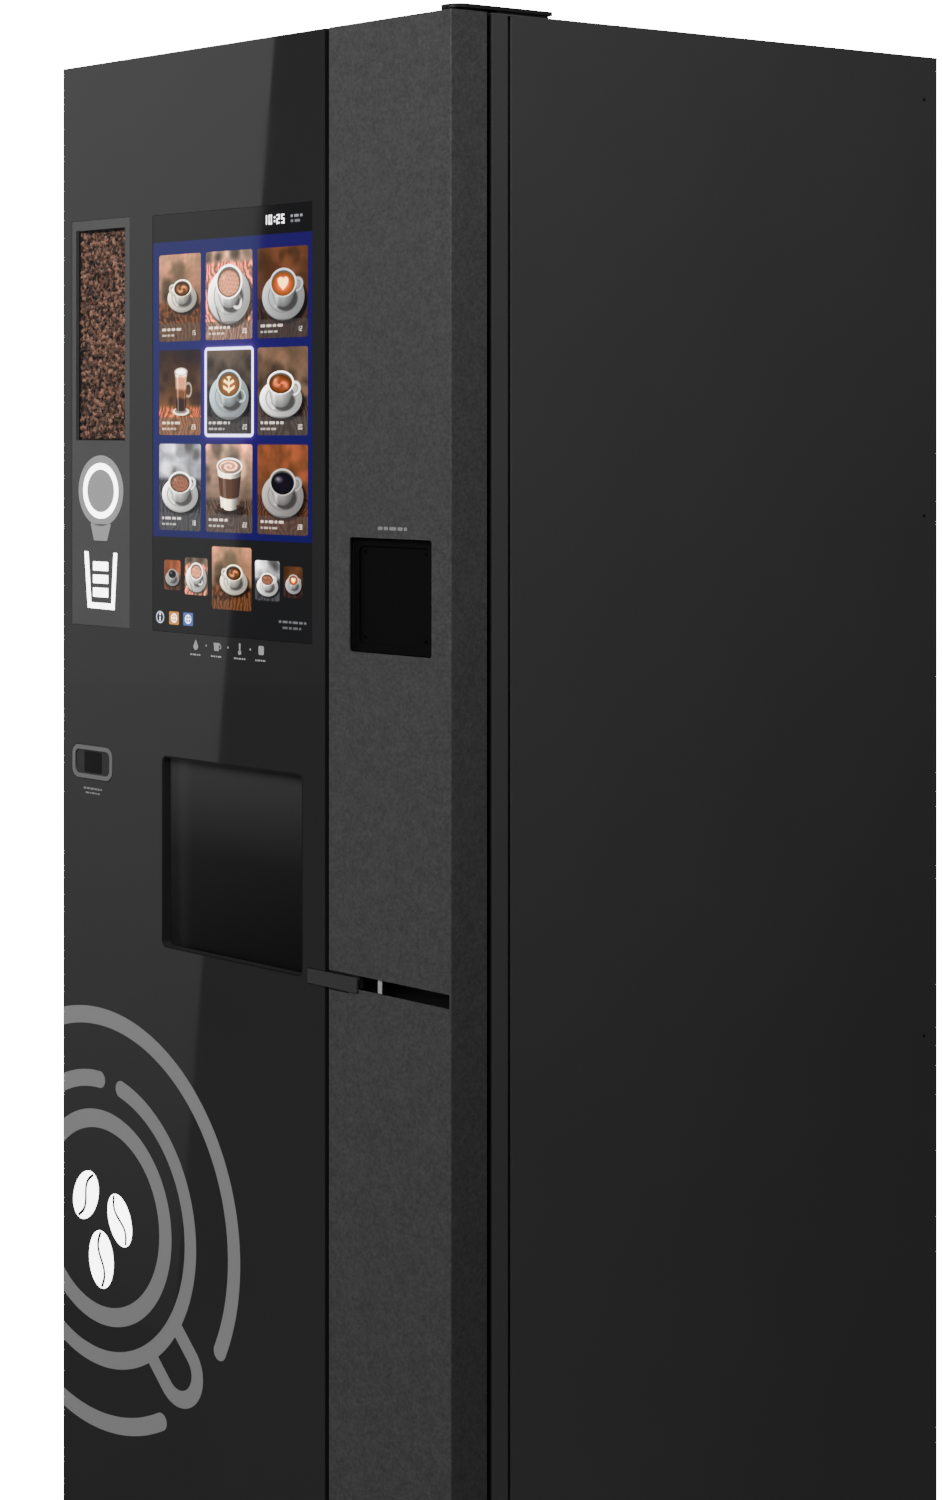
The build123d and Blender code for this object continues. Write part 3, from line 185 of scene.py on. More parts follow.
def paint_face_shade(mat, axis, sign, z0, z1, f0, f1):
    """Painted shade: scales the colour only on faces looking along one axis, from f0 at z0 to f1 at z1."""
    t = mat.node_tree
    p = next(n for n in t.nodes if n.type == "BSDF_PRINCIPLED")
    src = p.inputs["Base Color"].links[0].from_socket
    geo = t.nodes.new("ShaderNodeNewGeometry")
    sn = t.nodes.new("ShaderNodeSeparateXYZ")
    sp = t.nodes.new("ShaderNodeSeparateXYZ")
    t.links.new(geo.outputs["True Normal"], sn.inputs[0])
    t.links.new(geo.outputs["Position"], sp.inputs[0])
    mask = t.nodes.new("ShaderNodeMapRange")
    mask.inputs["From Min"].default_value, mask.inputs["From Max"].default_value = 0.45 * sign, 0.75 * sign
    t.links.new(sn.outputs[axis], mask.inputs["Value"])
    r = t.nodes.new("ShaderNodeMapRange")
    r.inputs["From Min"].default_value, r.inputs["From Max"].default_value = z0, z1
    r.inputs["To Min"].default_value, r.inputs["To Max"].default_value = f0, f1
    t.links.new(sp.outputs["Z"], r.inputs["Value"])
    mx = t.nodes.new("ShaderNodeMix")
    mx.inputs[2].default_value = 1.0
    t.links.new(mask.outputs["Result"], mx.inputs[0])
    t.links.new(r.outputs["Result"], mx.inputs[3])
    sc = t.nodes.new("ShaderNodeVectorMath")
    sc.operation = "SCALE"
    t.links.new(src, sc.inputs[0])
    t.links.new(mx.outputs[0], sc.inputs["Scale"])
    t.links.new(sc.outputs["Vector"], p.inputs["Base Color"])
    return mat


def clear(name, tint=(0.9, 0.95, 0.95), rough=0.03, strength=1.0, ior=1.45):
    """Thin clear sheet: straight-through light plus a mirror-like skin."""
    M = Mat(name)
    tr = M.n("ShaderNodeBsdfTransparent")
    tr.inputs["Color"].default_value = (*tint, 1)
    gl = M.n("ShaderNodeBsdfGlossy")
    gl.inputs["Color"].default_value = (1, 1, 1, 1)
    n2 = M.noise(20, 4, 0.6)
    M.l(M.remap(n2.outputs["Fac"], 0.3, 0.7, rough * 0.6, rough * 1.6), gl.inputs["Roughness"])
    fr = M.n("ShaderNodeFresnel")
    fr.inputs["IOR"].default_value = ior
    mm = M.n("ShaderNodeMath", _operation="MULTIPLY")
    mm.inputs[1].default_value = strength
    geo = M.n("ShaderNodeNewGeometry")       # inner faces stay clear
    inv = M.n("ShaderNodeMath", _operation="SUBTRACT")
    inv.inputs[0].default_value = 1.0
    M.l(geo.outputs["Backfacing"], inv.inputs[1])
    m0 = M.n("ShaderNodeMath", _operation="MULTIPLY")
    M.l(fr.outputs["Fac"], m0.inputs[0])
    M.l(inv.outputs[0], m0.inputs[1])
    M.l(m0.outputs[0], mm.inputs[0])
    mix = M.n("ShaderNodeMixShader")
    M.l(mm.outputs[0], mix.inputs[0])
    M.l(tr.outputs[0], mix.inputs[1])
    M.l(gl.outputs[0], mix.inputs[2])
    M.l(mix.outputs[0], M.out.inputs["Surface"])
    return M.m


def glow(name, col, strength):
    M = Mat(name)
    e = M.n("ShaderNodeEmission")
    e.inputs["Color"].default_value = (*col, 1)
    e.inputs["Strength"].default_value = strength
    M.l(e.outputs[0], M.out.inputs["Surface"])
    return M.m


# dark paint: fine orange-peel texture with speckle
m_coat = surface("coat_side", (0.058, 0.058, 0.0585), rough=0.52, grain=0.35, grain_scale=1500, grain_dist=0.00012, var=0.05, var_scale=3, rough_var=0.06, rough_scale=4)
m_rim = surface("coat_rim", (0.076, 0.076, 0.0765), rough=0.5, grain=0.35, grain_scale=1500, grain_dist=0.00012, var=0.05, var_scale=3, rough_var=0.06, rough_scale=4)
m_doorside = surface("coat_door", (0.056, 0.056, 0.0565), rough=0.5, grain=0.35, grain_scale=1500, grain_dist=0.00012, var=0.05, var_scale=3, rough_var=0.06, rough_scale=4, spec=0.2)
# painted light and shade: side panels lighter towards the top and the front, rim and door sides lighter towards the top
paint_light_ramp(m_coat, 0.7, 1.82, 0.84, 1.26, -0.30, 0.36, 1.27, 0.88)
paint_light_ramp(m_rim, 0.7, 1.82, 0.88, 1.26)
paint_light_ramp(m_doorside, 0.7, 1.82, 0.42, 1.42)
m_column = surface("coat_column", (0.103, 0.103, 0.103), rough=0.5, grain=0.9, grain_scale=420, grain_dist=0.0004, var=0.10, var_scale=70, rough_var=0.07, rough_scale=20)
# painted shade: the column's side faces are darker towards the bottom
paint_face_shade(m_column, "X", 1, 0.525, 1.76, 0.55, 1.02)
# painted shade: the rim's front-facing faces are darkened to 0.35
paint_face_shade(m_rim, "Y", -1, 0.0, 2.0, 0.35, 0.35)
m_glass = surface("black_glass", (0.0285, 0.0285, 0.029), rough=0.035, grain=0.0, var=0.05, rough_var=0.02, rough_scale=7, spec=0.5)
# painted reflection: the black glass is lighter towards its bottom
paint_light_ramp(m_glass, 1.12, 1.80, 1.56, 1.12)
m_black = surface("black_plastic", (0.012, 0.012, 0.013), rough=0.45, grain=0.3, grain_scale=1200, grain_dist=0.0001)
m_blackrough = surface("black_matt", (0.006, 0.006, 0.006), rough=0.75, grain=0.3, grain_scale=900)
m_gloss = surface("gloss_black", (0.006, 0.006, 0.0065), rough=0.1, grain=0.0, rough_var=0.04)
m_grey = surface("grey_plate", (0.152, 0.152, 0.153), rough=0.38, grain=0.25, grain_scale=1400, grain_dist=0.00006, var=0.03)
m_cover = surface("cover_grey", lin(77), rough=0.4, grain=0.35, grain_scale=1400, grain_dist=0.0001, var=0.04)
m_light = surface("light_grey", lin(170), rough=0.45, grain=0.2, grain_scale=1400, grain_dist=0.00006, var=0.03)
# painted light: this grey print glows faintly
m_print_grey = surface("print_grey", (0.76, 0.76, 0.76), rough=0.35, grain=0.0, var=0.02, rough_var=0.05, emit=(1.0, 1.0, 1.0), emit_strength=0.04)
m_ringlight = surface("scanner_ring_grey", (0.33, 0.33, 0.332), rough=0.4, grain=0.2, grain_scale=1400, grain_dist=0.00006, var=0.03)
m_print_mid = surface("print_mid", (0.49, 0.49, 0.495), rough=0.22, grain=0.0, var=0.04, rough_var=0.05)
# painted light: this white print glows strongly
m_print_white = surface("print_white", lin(236), rough=0.3, grain=0.0, var=0.02, rough_var=0.05, emit=(1.0, 1.0, 1.0), emit_strength=7.0)
m_steel = surface("stainless", (0.56, 0.56, 0.57), rough=0.32, metal=1.0, grain=0.25, grain_scale=600, grain_dist=0.00003, stretch=(1, 1, 0.04), var=0.05)
m_zinc = surface("zinc", (0.42, 0.43, 0.45), rough=0.42, metal=0.9, grain=0.3, grain_scale=120, grain_dist=0.00004, var=0.12, var_scale=30)
m_chrome = surface("chrome", (0.75, 0.75, 0.77), rough=0.12, metal=1.0, var=0.04)
m_brass = surface("brass", (0.72, 0.5, 0.2), rough=0.3, metal=1.0, grain=0.2, grain_scale=500, grain_dist=0.00003, var=0.1)
m_alu = surface("cast_alu", (0.55, 0.56, 0.57), rough=0.5, metal=0.85, grain=0.5, grain_scale=900, grain_dist=0.0001, var=0.08)
m_white = surface("white_plastic", (0.72, 0.72, 0.69), rough=0.42, grain=0.15, grain_scale=900, grain_dist=0.00005, var=0.03)
m_rubber = surface("rubber", (0.004, 0.004, 0.004), rough=0.9, spec=0.05, grain=0.4, grain_scale=700, grain_dist=0.0001)
m_clear = clear("clear_plastic", (0.86, 0.9, 0.91), 0.05, 0.9)
m_pane = clear("window_glass", (0.95, 0.96, 0.96), 0.02, 0.22)
m_cup = surface("paper_cup", (0.78, 0.76, 0.71), rough=0.7, grain=0.3, grain_scale=1600, grain_dist=0.00004, var=0.03)
m_bean = None  # made below


# ------------------------------------------------------------------ mesh helpers
def link(name, mesh, mat, body):
    o = bpy.data.objects.new(name, mesh)
    bpy.context.scene.collection.objects.link(o)
    if mat is not None:
        o.data.materials.clear()
        o.data.materials.append(mat)
    if body:
        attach(o, body)
    return o


def smooth(mesh, angle=35):
    mesh.shade_smooth()
    try:
        mesh.set_sharp_from_angle(angle=math.radians(angle))
    except Exception:
        pass


def from_bm(name, bm, mat, body, sm=True, bevel=None):
    me = bpy.data.meshes.new(name)
    bmesh.ops.recalc_face_normals(bm, faces=bm.faces[:])
    bm.to_mesh(me)
    bm.free()
    if sm:
        smooth(me)
    o = link(name, me, mat, body)
    if bevel:
        b = o.modifiers.new("edge", "BEVEL")
        b.width = bevel
        b.segments = 2
        b.limit_method = "ANGLE"
        b.angle_limit = math.radians(40)
    return o


def add_box(bm, x0, x1, y0, y1, z0, z1):
    vs = [bm.verts.new(p) for p in ((x0, y0, z0), (x1, y0, z0), (x1, y1, z0), (x0, y1, z0), (x0, y0, z1), (x1, y0, z1), (x1, y1, z1), (x0, y1, z1))]
    for f in ((0, 3, 2, 1), (4, 5, 6, 7), (0, 1, 5, 4), (1, 2, 6, 5), (2, 3, 7, 6), (3, 0, 4, 7)):
        bm.faces.new([vs[i] for i in f])


def add_cyl(bm, c, r0, r1, length, axis, seg=32, caps=True):
    """Cylinder or cone from c along axis."""
    a = Vector(axis).normalized()
    u = a.orthogonal().normalized()
    v = a.cross(u)
    c = Vector(c)
    rings = []
    for r, t in ((r0, 0.0), (r1, length)):
        rings.append([bm.verts.new(c + a * t + (u * math.cos(k * 2 * math.pi / seg) + v * math.sin(k * 2 * math.pi / seg)) * r) for k in range(seg)])
    for k in range(seg):
        bm.faces.new((rings[0][k], rings[0][(k + 1) % seg], rings[1][(k + 1) % seg], rings[1][k]))
    if caps:
        bm.faces.new(list(reversed(rings[0])))
        bm.faces.new(rings[1])


def add_lathe(bm, c, prof, seg=48, axis=(0, 0, 1), close=False):
    """Revolves (radius, height) points round an axis through c."""
    a = Vector(axis).normalized()
    u = a.orthogonal().normalized()
    v = a.cross(u)
    c = Vector(c)
    rings = []
    for r, h in prof:
        rings.append([bm.verts.new(c + a * h + (u * math.cos(k * 2 * math.pi / seg) + v * math.sin(k * 2 * math.pi / seg)) * max(r, 1e-5)) for k in range(seg)])
    pairs = list(zip(rings[:-1], rings[1:]))
    if close:
        pairs.append((rings[-1], rings[0]))
    for p, q in pairs:
        for k in range(seg):
            bm.faces.new((p[k], p[(k + 1) % seg], q[(k + 1) % seg], q[k]))


def add_plate(bm, pts, y0, y1):
    """Prism between y0 (front) and y1 from an outline in (x, z)."""
    f = [bm.verts.new((x, y0, z)) for x, z in pts]
    b = [bm.verts.new((x, y1, z)) for x, z in pts]
    bm.faces.new(f)
    bm.faces.new(list(reversed(b)))
    n = len(pts)
    for k in range(n):
        bm.faces.new((f[k], b[k], b[(k + 1) % n], f[(k + 1) % n]))


def rrect(x0, x1, z0, z1, r, seg=6):
    pts = []
    for cx, cz, a0 in ((x1 - r, z1 - r, 0), (x0 + r, z1 - r, 90), (x0 + r, z0 + r, 180), (x1 - r, z0 + r, 270)):
        for k in range(seg + 1):
            a = math.radians(a0 + 90 * k / seg)
            pts.append((cx + r * math.cos(a), cz + r * math.sin(a)))
    return pts


def arc(cx, cz, r, a0, a1, n=48):
    return [(cx + r * math.cos(math.radians(a0 + (a1 - a0) * k / n)), cz + r * math.sin(math.radians(a0 + (a1 - a0) * k / n))) for k in range(n + 1)]


def add_band(bm, cx, cz, r_in, r_out, a0, a1, y0, y1, n=96, clip=None):
    """Flat ring or part of one facing the front. clip(x, z) keeps a slice when true."""
    full = abs(a1 - a0) >= 359.9
    outs, ins = arc(cx, cz, r_out, a0, a1, n), arc(cx, cz, r_in, a0, a1, n)
    keep = [True] * n
    if clip:
        for k in range(n):
            mx = (outs[k][0] + ins[k][0] + outs[k + 1][0] + ins[k + 1][0]) / 4
            mz = (outs[k][1] + ins[k][1] + outs[k + 1][1] + ins[k + 1][1]) / 4
            keep[k] = clip(mx, mz)
    for k in range(n):
        if not keep[k]:
            continue
        q = (outs[k], outs[k + 1], ins[k + 1], ins[k])
        f = [bm.verts.new((x, y0, z)) for x, z in q]
        b = [bm.verts.new((x, y1, z)) for x, z in q]
        bm.faces.new(f)
        bm.faces.new(list(reversed(b)))
        for i in range(4):
            bm.faces.new((f[i], b[i], b[(i + 1) % 4], f[(i + 1) % 4]))
    bmesh.ops.remove_doubles(bm, verts=bm.verts[:], dist=1e-6)


def smooth_path(pts, per=10):
    """Points along a centripetal curve through pts, which doesn't swing wide at uneven spacing."""
    P = [Vector(q) for q in pts]
    P = [P[0] * 2 - P[1]] + P + [P[-1] * 2 - P[-2]]
    out = []
    for i in range(1, len(P) - 2):
        p0, p1, p2, p3 = P[i - 1], P[i], P[i + 1], P[i + 2]
        t0 = 0.0
        t1 = t0 + max((p1 - p0).length, 1e-6) ** 0.5
        t2 = t1 + max((p2 - p1).length, 1e-6) ** 0.5
        t3 = t2 + max((p3 - p2).length, 1e-6) ** 0.5
        for k in range(per):
            t = t1 + (t2 - t1) * k / per
            a1 = p0 * ((t1 - t) / (t1 - t0)) + p1 * ((t - t0) / (t1 - t0))
            a2 = p1 * ((t2 - t) / (t2 - t1)) + p2 * ((t - t1) / (t2 - t1))
            a3 = p2 * ((t3 - t) / (t3 - t2)) + p3 * ((t - t2) / (t3 - t2))
            b1 = a1 * ((t2 - t) / (t2 - t0)) + a2 * ((t - t0) / (t2 - t0))
            b2 = a2 * ((t3 - t) / (t3 - t1)) + a3 * ((t - t1) / (t3 - t1))
            out.append(b1 * ((t2 - t) / (t2 - t1)) + b2 * ((t - t1) / (t2 - t1)))
    out.append(P[-2])
    return out


def tube(name, pts, r, mat, body, cyclic=False, res=10):
    cu = bpy.data.curves.new(name, "CURVE")
    cu.dimensions = "3D"
    cu.bevel_depth = r
    cu.bevel_resolution = 4
    cu.use_fill_caps = True
    path = smooth_path(pts, res)
    sp = cu.splines.new("POLY")
    sp.points.add(len(path) - 1)
    for bp, q in zip(sp.points, path):
        bp.co = (q[0], q[1], q[2], 1.0)
    sp.use_cyclic_u = cyclic
    o = bpy.data.objects.new(name, cu)
    bpy.context.scene.collection.objects.link(o)
    o.data.materials.append(mat)
    bpy.context.view_layer.update()
    dg = bpy.context.evaluated_depsgraph_get()
    me = bpy.data.meshes.new_from_object(o.evaluated_get(dg))
    bpy.data.objects.remove(o)
    me.name = name
    me.materials.clear()
    smooth(me, 60)
    return link(name, me, mat, body)


def paint(node, mat, bevel=None, seg=2):
    o = N[node]
    o.data.materials.clear()
    o.data.materials.append(mat)
    if bevel:
        b = o.modifiers.new("edge", "BEVEL")
        b.width = bevel
        b.segments = seg
        b.limit_method = "ANGLE"
        b.angle_limit = math.radians(50)
        b.harden_normals = False
    return o


# ------------------------------------------------------------------ CAD nodes: finishes
for nm in ("front_frame", "side_panel_left", "side_panel_right", "top_panel", "back_panel"):
    paint(nm, m_coat, 0.0009 if nm != "back_panel" else None)
paint("door_shell", m_doorside)
N["front_frame"].data.materials.clear()
N["front_frame"].data.materials.append(m_rim)
paint("column_panel", m_column, 0.0008)
paint("front_glass", m_glass, 0.0006)
paint("door_hinges", m_black, 0.0006)
paint("frame_weldment", m_coat)
paint("levelling_feet", m_rubber)
paint("deck", m_steel)
paint("bean_hopper", m_clear)
paint("hopper_lid", m_black, 0.0005)
paint("grinder_housing", m_alu)
paint("grinder_burr", m_steel)
paint("brewer_frame", m_black)
paint("brew_piston", m_white)
paint("boiler", m_steel)
paint("pump", m_zinc)
for nm in ("canister_1", "canister_2"):
    paint(nm, m_clear)
for nm in ("auger_1", "auger_2", "mixer_bowl", "drop_ring", "waste_bucket", "flap_pinion"):
    paint(nm, m_white)
paint("auger_motors", m_black)
for nm in ("whipper_1", "whipper_2", "cup_turret"):
    paint(nm, m_light)
for nm in ("cup_arm", "drip_tray", "dispense_head", "fan_frame", "fan_rotor", "power_inlet", "lock_channel"):
    paint(nm, m_black)
paint("drip_grille", m_steel)
paint("station_liner", m_steel)
paint("grounds_bin", surface("bin_grey", (0.05, 0.052, 0.055), rough=0.55, grain=0.4, grain_scale=600))
paint("water_bottle", clear("bottle_blue", (0.62, 0.78, 0.9), 0.08, 0.9))
paint("electronics_tray", m_zinc)
paint("water_inlet", m_brass)
paint("rocker_switch", m_gloss)
paint("panel_screws", m_zinc)
paint("lock_cover", m_cover, 0.0006)
paint("lock_cylinder", m_chrome)
paint("latch_bar", m_zinc)
paint("display_module", m_gloss)
paint("window_plate", m_grey, 0.0004)
paint("window_pane", m_pane)
# painted shade: the bezel's front-facing faces are darkened to 0.2
paint("pickup_bezel", paint_face_shade(surface("bezel_black", (0.046, 0.046, 0.0465), rough=0.4, grain=0.3, grain_scale=1200, grain_dist=0.0001), "Y", -1, 0.0, 2.0, 0.2, 0.2))
paint("flap_motor", m_zinc)
paint("cup_chute", m_steel)
paint("scanner", m_cover, 0.0005)
paint("card_reader", surface("reader_body", (0.007, 0.007, 0.0072), rough=0.6, grain=0.3, grain_scale=900, spec=0.12), 0.0005)
paint("door_gasket", m_rubber)

# pick-up flap: smoked, with a painted reflection that makes it lighter towards its top
M = Mat("flap_smoke")
p = M.n("ShaderNodeBsdfPrincipled")
sx = M.n("ShaderNodeSeparateXYZ")
M.l(M.tc.outputs["Object"], sx.inputs[0])
ramp = M.n("ShaderNodeValToRGB")
M.l(M.remap(sx.outputs["Z"], 0.80, 1.036), ramp.inputs[0])
ramp.color_ramp.elements[0].position = 0.0
ramp.color_ramp.elements[0].color = (0.003, 0.003, 0.0032, 1)
p.inputs["Specular IOR Level"].default_value = 0.3
ramp.color_ramp.elements[1].position = 1.0
ramp.color_ramp.elements[1].color = (0.088, 0.088, 0.089, 1)
e = ramp.color_ramp.elements.new(0.5)
e.color = (0.017, 0.017, 0.0172, 1)
M.l(ramp.outputs["Color"], p.inputs["Base Color"])
n2 = M.noise(9, 4, 0.6)
M.l(M.remap(n2.outputs["Fac"], 0.3, 0.7, 0.28, 0.38), p.inputs["Roughness"])
# painted light: a faint glow along the left edge, where the opening's side shades the flap
ex = M.remap(sx.outputs["X"], -0.122, -0.098, 1.0, 0.0)
ez = M.remap(sx.outputs["Z"], 0.80, 1.036, 0.0075, 0.0130)
em = M.n("ShaderNodeMath", _operation="MULTIPLY")
M.l(ex, em.inputs[0])
M.l(ez, em.inputs[1])
p.inputs["Emission Color"].default_value = (1, 1, 1, 1)
M.l(em.outputs[0], p.inputs["Emission Strength"])
M.l(p.outputs[0], M.out.inputs["Surface"])
paint("pickup_flap", M.m, 0.0004)


# ------------------------------------------------------------------ touch screen picture
SX0, SX1, SZ0, SZ1 = -0.1532, 0.1133, 1.1689, 1.6453


def draw_screen(nx=440, nz=787):
    """The display's picture as colours at grid points. Painted as display colours, returned as scene light."""
    xs = np.linspace(SX0, SX1, nx)
    zs = np.linspace(SZ0, SZ1, nz)
    GX, GZ = np.meshgrid(xs * 1000.0, (zs - TOP) * 1000.0)    # mm, z from the top of the machine, negative
    whole = np.zeros((nz, nx, 3))
    whole[:] = np.array((33, 33, 34)) / 255.0
    px = (xs[1] - xs[0]) * 1000.0 * 1.15
    W = {"img": whole, "X": GX, "Z": GZ}                       # the part being painted

    def focus(x0=None, x1=None, z0=None, z1=None):
        if x0 is None:
            W.update(img=whole, X=GX, Z=GZ)
            return
        i0, i1 = np.searchsorted(GX[0], [x0, x1])
        j0, j1 = np.searchsorted(GZ[:, 0], [z0, z1])
        W.update(img=whole[j0:j1 + 1, i0:i1 + 1], X=GX[j0:j1 + 1, i0:i1 + 1], Z=GZ[j0:j1 + 1, i0:i1 + 1])

    def cov(d, soft=1.0):            # signed distance (negative inside) to coverage
        return np.clip(0.5 - d / (px * soft), 0, 1)

    def box_d(x0, x1, z0, z1, r=0.0):
        X, Z = W["X"], W["Z"]
        cx, cz, hx, hz = (x0 + x1) / 2, (z0 + z1) / 2, abs(x1 - x0) / 2 - r, abs(z1 - z0) / 2 - r
        qx, qz = np.abs(X - cx) - hx, np.abs(Z - cz) - hz
        return np.hypot(np.maximum(qx, 0), np.maximum(qz, 0)) + np.minimum(np.maximum(qx, qz), 0) - r

    def ell_d(cx, cz, rx, rz, tilt=0.0):
        u, v = W["X"] - cx, W["Z"] - cz
        if tilt:
            c, s_ = math.cos(tilt), math.sin(tilt)
            u, v = u * c + v * s_, -u * s_ + v * c
        return (np.hypot(u / rx, v / rz) - 1) * min(rx, rz)

    def over(col, a):
        c = np.array(col) / 255.0
        W["img"][:] = W["img"] * (1 - a[..., None]) + c * a[..., None]

    def light(f):
        W["img"][:] = np.clip(W["img"] * f[..., None], 0, 1)

    def fbm(scale, seed, octs=5):
        X, Z = W["X"], W["Z"]
        r = np.random.RandomState(seed)
        out = np.zeros_like(X)
        amp, tot = 1.0, 0.0
        for o in range(octs):
            f = scale * 2 ** o
            ph, th = r.rand(5) * 6.28, r.rand(5) * 6.28
            out += amp * sum(np.sin((X * math.cos(t) + Z * math.sin(t)) * f + p_) for t, p_ in zip(th, ph)) / 2.4
            tot += amp
            amp *= 0.6
        return out / tot

    def blob_noise(n, seed, r0, r1, x0, x1, z0, z1, cols, a=0.5, soft=6.0):
        r = np.random.RandomState(seed)
        for _ in range(n):
            rr = r0 + (r1 - r0) * r.rand()
            over(cols[r.randint(len(cols))], cov(ell_d(x0 + (x1 - x0) * r.rand(), z0 + (z1 - z0) * r.rand(), rr, rr * (0.6 + 0.5 * r.rand()), r.rand() * 3), soft) * a)

    # status bar: a clock at the right
    over((27, 27, 28), cov(box_d(-153.2, 113.3, -184.7, -216.3)))
    # deep blue field
    X, Z = GX, GZ
    a = cov(box_d(-153.2, 113.3, -216.3, -552.7))
    t = np.clip((-216.3 - Z) / 336.4, 0, 1)
    blue = (np.array((30, 25, 104)) * (1 - t[..., None]) + np.array((24, 18, 100)) * t[..., None]) / 255.0
    gl_ = np.exp(-(((X + 20) / 120) ** 2 + ((Z + 384) / 130) ** 2))
    blue = blue * (1 + 0.16 * gl_[..., None])
    whole[:] = whole * (1 - a[..., None]) + blue * a[..., None]

    cols = [(-142.0, -69.5), (-61.0, 17.0), (25.5, 106.5)]
    rows = [(-231.0, -330.0), (-340.0, -436.5), (-446.5, -545.0)]

    def digits(txt, x, z, h, col, alpha=1.0):
        seg = {"0": "abcdef", "1": "bc", "2": "abged", "3": "abgcd", "4": "fgbc", "5": "afgcd", "6": "afgedc", "7": "abc", "8": "abcdefg", "9": "abcdfg"}
        w, s_ = h * 0.5, h * 0.17
        for ch in txt:
            if ch == ":":
                for zz in (z + h * 0.3, z + h * 0.7):
                    over(col, cov(ell_d(x + s_, zz, s_ * 0.7, s_ * 0.7)) * alpha)
                x += s_ * 2.6
                continue
            for q in seg[ch]:
                d = {"a": (x, x + w, z + h, z + h - s_), "g": (x, x + w, z + h / 2 + s_ / 2, z + h / 2 - s_ / 2), "d": (x, x + w, z + s_, z),
                     "f": (x, x + s_, z + h, z + h / 2), "b": (x + w - s_, x + w, z + h, z + h / 2), "e": (x, x + s_, z + h / 2, z), "c": (x + w - s_, x + w, z + h / 2, z)}[q]
                over(col, cov(box_d(*d, 0.2)) * alpha)
            x += w + s_ * 1.4

    def bars(x0, x1, z, h, col, alpha, seed):
        r = np.random.RandomState(seed)
        x = x0
        while x < x1 - h:
            w = h * (1.2 + 2.2 * r.rand())
            over(col, cov(box_d(x, min(x + w, x1), z, z + h, h * 0.3)) * alpha)
            x += w + h * 0.7

    def drink_top(cx, cz, rx, rz, dark, foam, art, seed):
        """The liquid's surface with its pattern."""
        a_ = cov(ell_d(cx, cz, rx, rz))
        u, v = (W["X"] - cx) / rx, (W["Z"] - cz) / rz
        rad, ang = np.hypot(u, v), np.arctan2(v, u)
        over(dark, a_)
        W["img"][:] = W["img"] * (1 - (a_ * np.clip(rad - 0.45, 0, 1) * 0.55)[..., None])
        wob = 0.10 * fbm(0.5 / max(rx, 1) * 10, seed, 3)
        if art == "crema":
            m = np.clip((0.82 - rad + wob) * 3.2, 0, 1) * (0.55 + 0.45 * np.sin(ang * 2 + rad * 5 + seed))
        elif art == "leaf":
            k_ = np.clip(np.sin(v * 11 - np.abs(u) * 7.0 + 0.6) * 2.4, 0, 1)
            m = k_ * (np.hypot(u * 1.35, v * 0.98) < 0.72) + (np.abs(u) < 0.05) * (np.abs(v) < 0.66)
            m = np.clip(m, 0, 1)
        elif art == "heart":
            hx, hv = u * 1.55, v * 1.45 + 0.12
            m = np.clip((0.62 - ((hx ** 2 + (hv - 0.62 * np.sqrt(np.abs(hx) + 0.001)) ** 2))) * 5, 0, 1)
        elif art == "foam":
            m = np.clip(0.86 + fbm(1.3, seed, 3) * 0.5, 0, 1) * np.clip((0.93 - rad) * 12, 0, 1)
        elif art == "spiral":
            m = np.clip(np.sin(rad * 13 - ang) * 1.8, 0, 1) * (rad < 0.86)
        else:                          # black coffee: only a sheen
            m = np.clip(1 - np.hypot((u + 0.32) * 2.2, (v - 0.35) * 2.6), 0, 1) * 0.8
        over(foam, a_ * m)
        over((255, 250, 240), a_ * np.clip(1 - np.hypot((u + 0.45) * 4.0, (v - 0.42) * 4.4), 0, 1) * 0.35)

    def cup_view(cx, cz, s, body, drink, foam, art, seed, hand=-0.35, squash=0.62, saucer=True, tall=1.0):
        """Cup on its saucer seen from above and in front. s: scale, cz: middle of the saucer."""
        b = np.array(body, float)
        if saucer:
            over((6, 5, 6), cov(ell_d(cx + 2.2 * s, cz - 2.4 * s, 19.5 * s, 19.5 * squash * s), 3.5) * 0.6)
            over(tuple(b * 0.70), cov(ell_d(cx, cz - 0.9 * s, 18.6 * s, 18.6 * squash * s)))
            a_ = cov(ell_d(cx, cz, 18.6 * s, 18.6 * squash * s))
            over(tuple(b), a_)
            sh = np.clip(0.5 + (W["X"] - cx) / (44 * s) - (W["Z"] - cz) / (50 * s), 0, 1)
            over(tuple(b * 0.52), a_ * sh * 0.62)
            over(tuple(b * 0.66), cov(np.abs(ell_d(cx, cz - 0.2 * s, 13.0 * s, 13.0 * squash * s)) - 0.35 * s) * 0.7)
            over((24, 18, 18), cov(ell_d(cx + 2.4 * s, cz - 1.6 * s, 10.2 * s, 10.2 * squash * s), 3) * 0.6)
        # handle
        hx, hz = cx + 12.6 * s * math.cos(hand), cz + 4.2 * s + 10.5 * s * squash * math.sin(hand)
        hd = np.abs(ell_d(hx, hz, 4.4 * s, 3.6 * s, hand)) - 0.95 * s
        over(tuple(b * 0.62), cov(hd - 0.3 * s))
        over(tuple(b * 0.92), cov(hd + 0.15 * s))
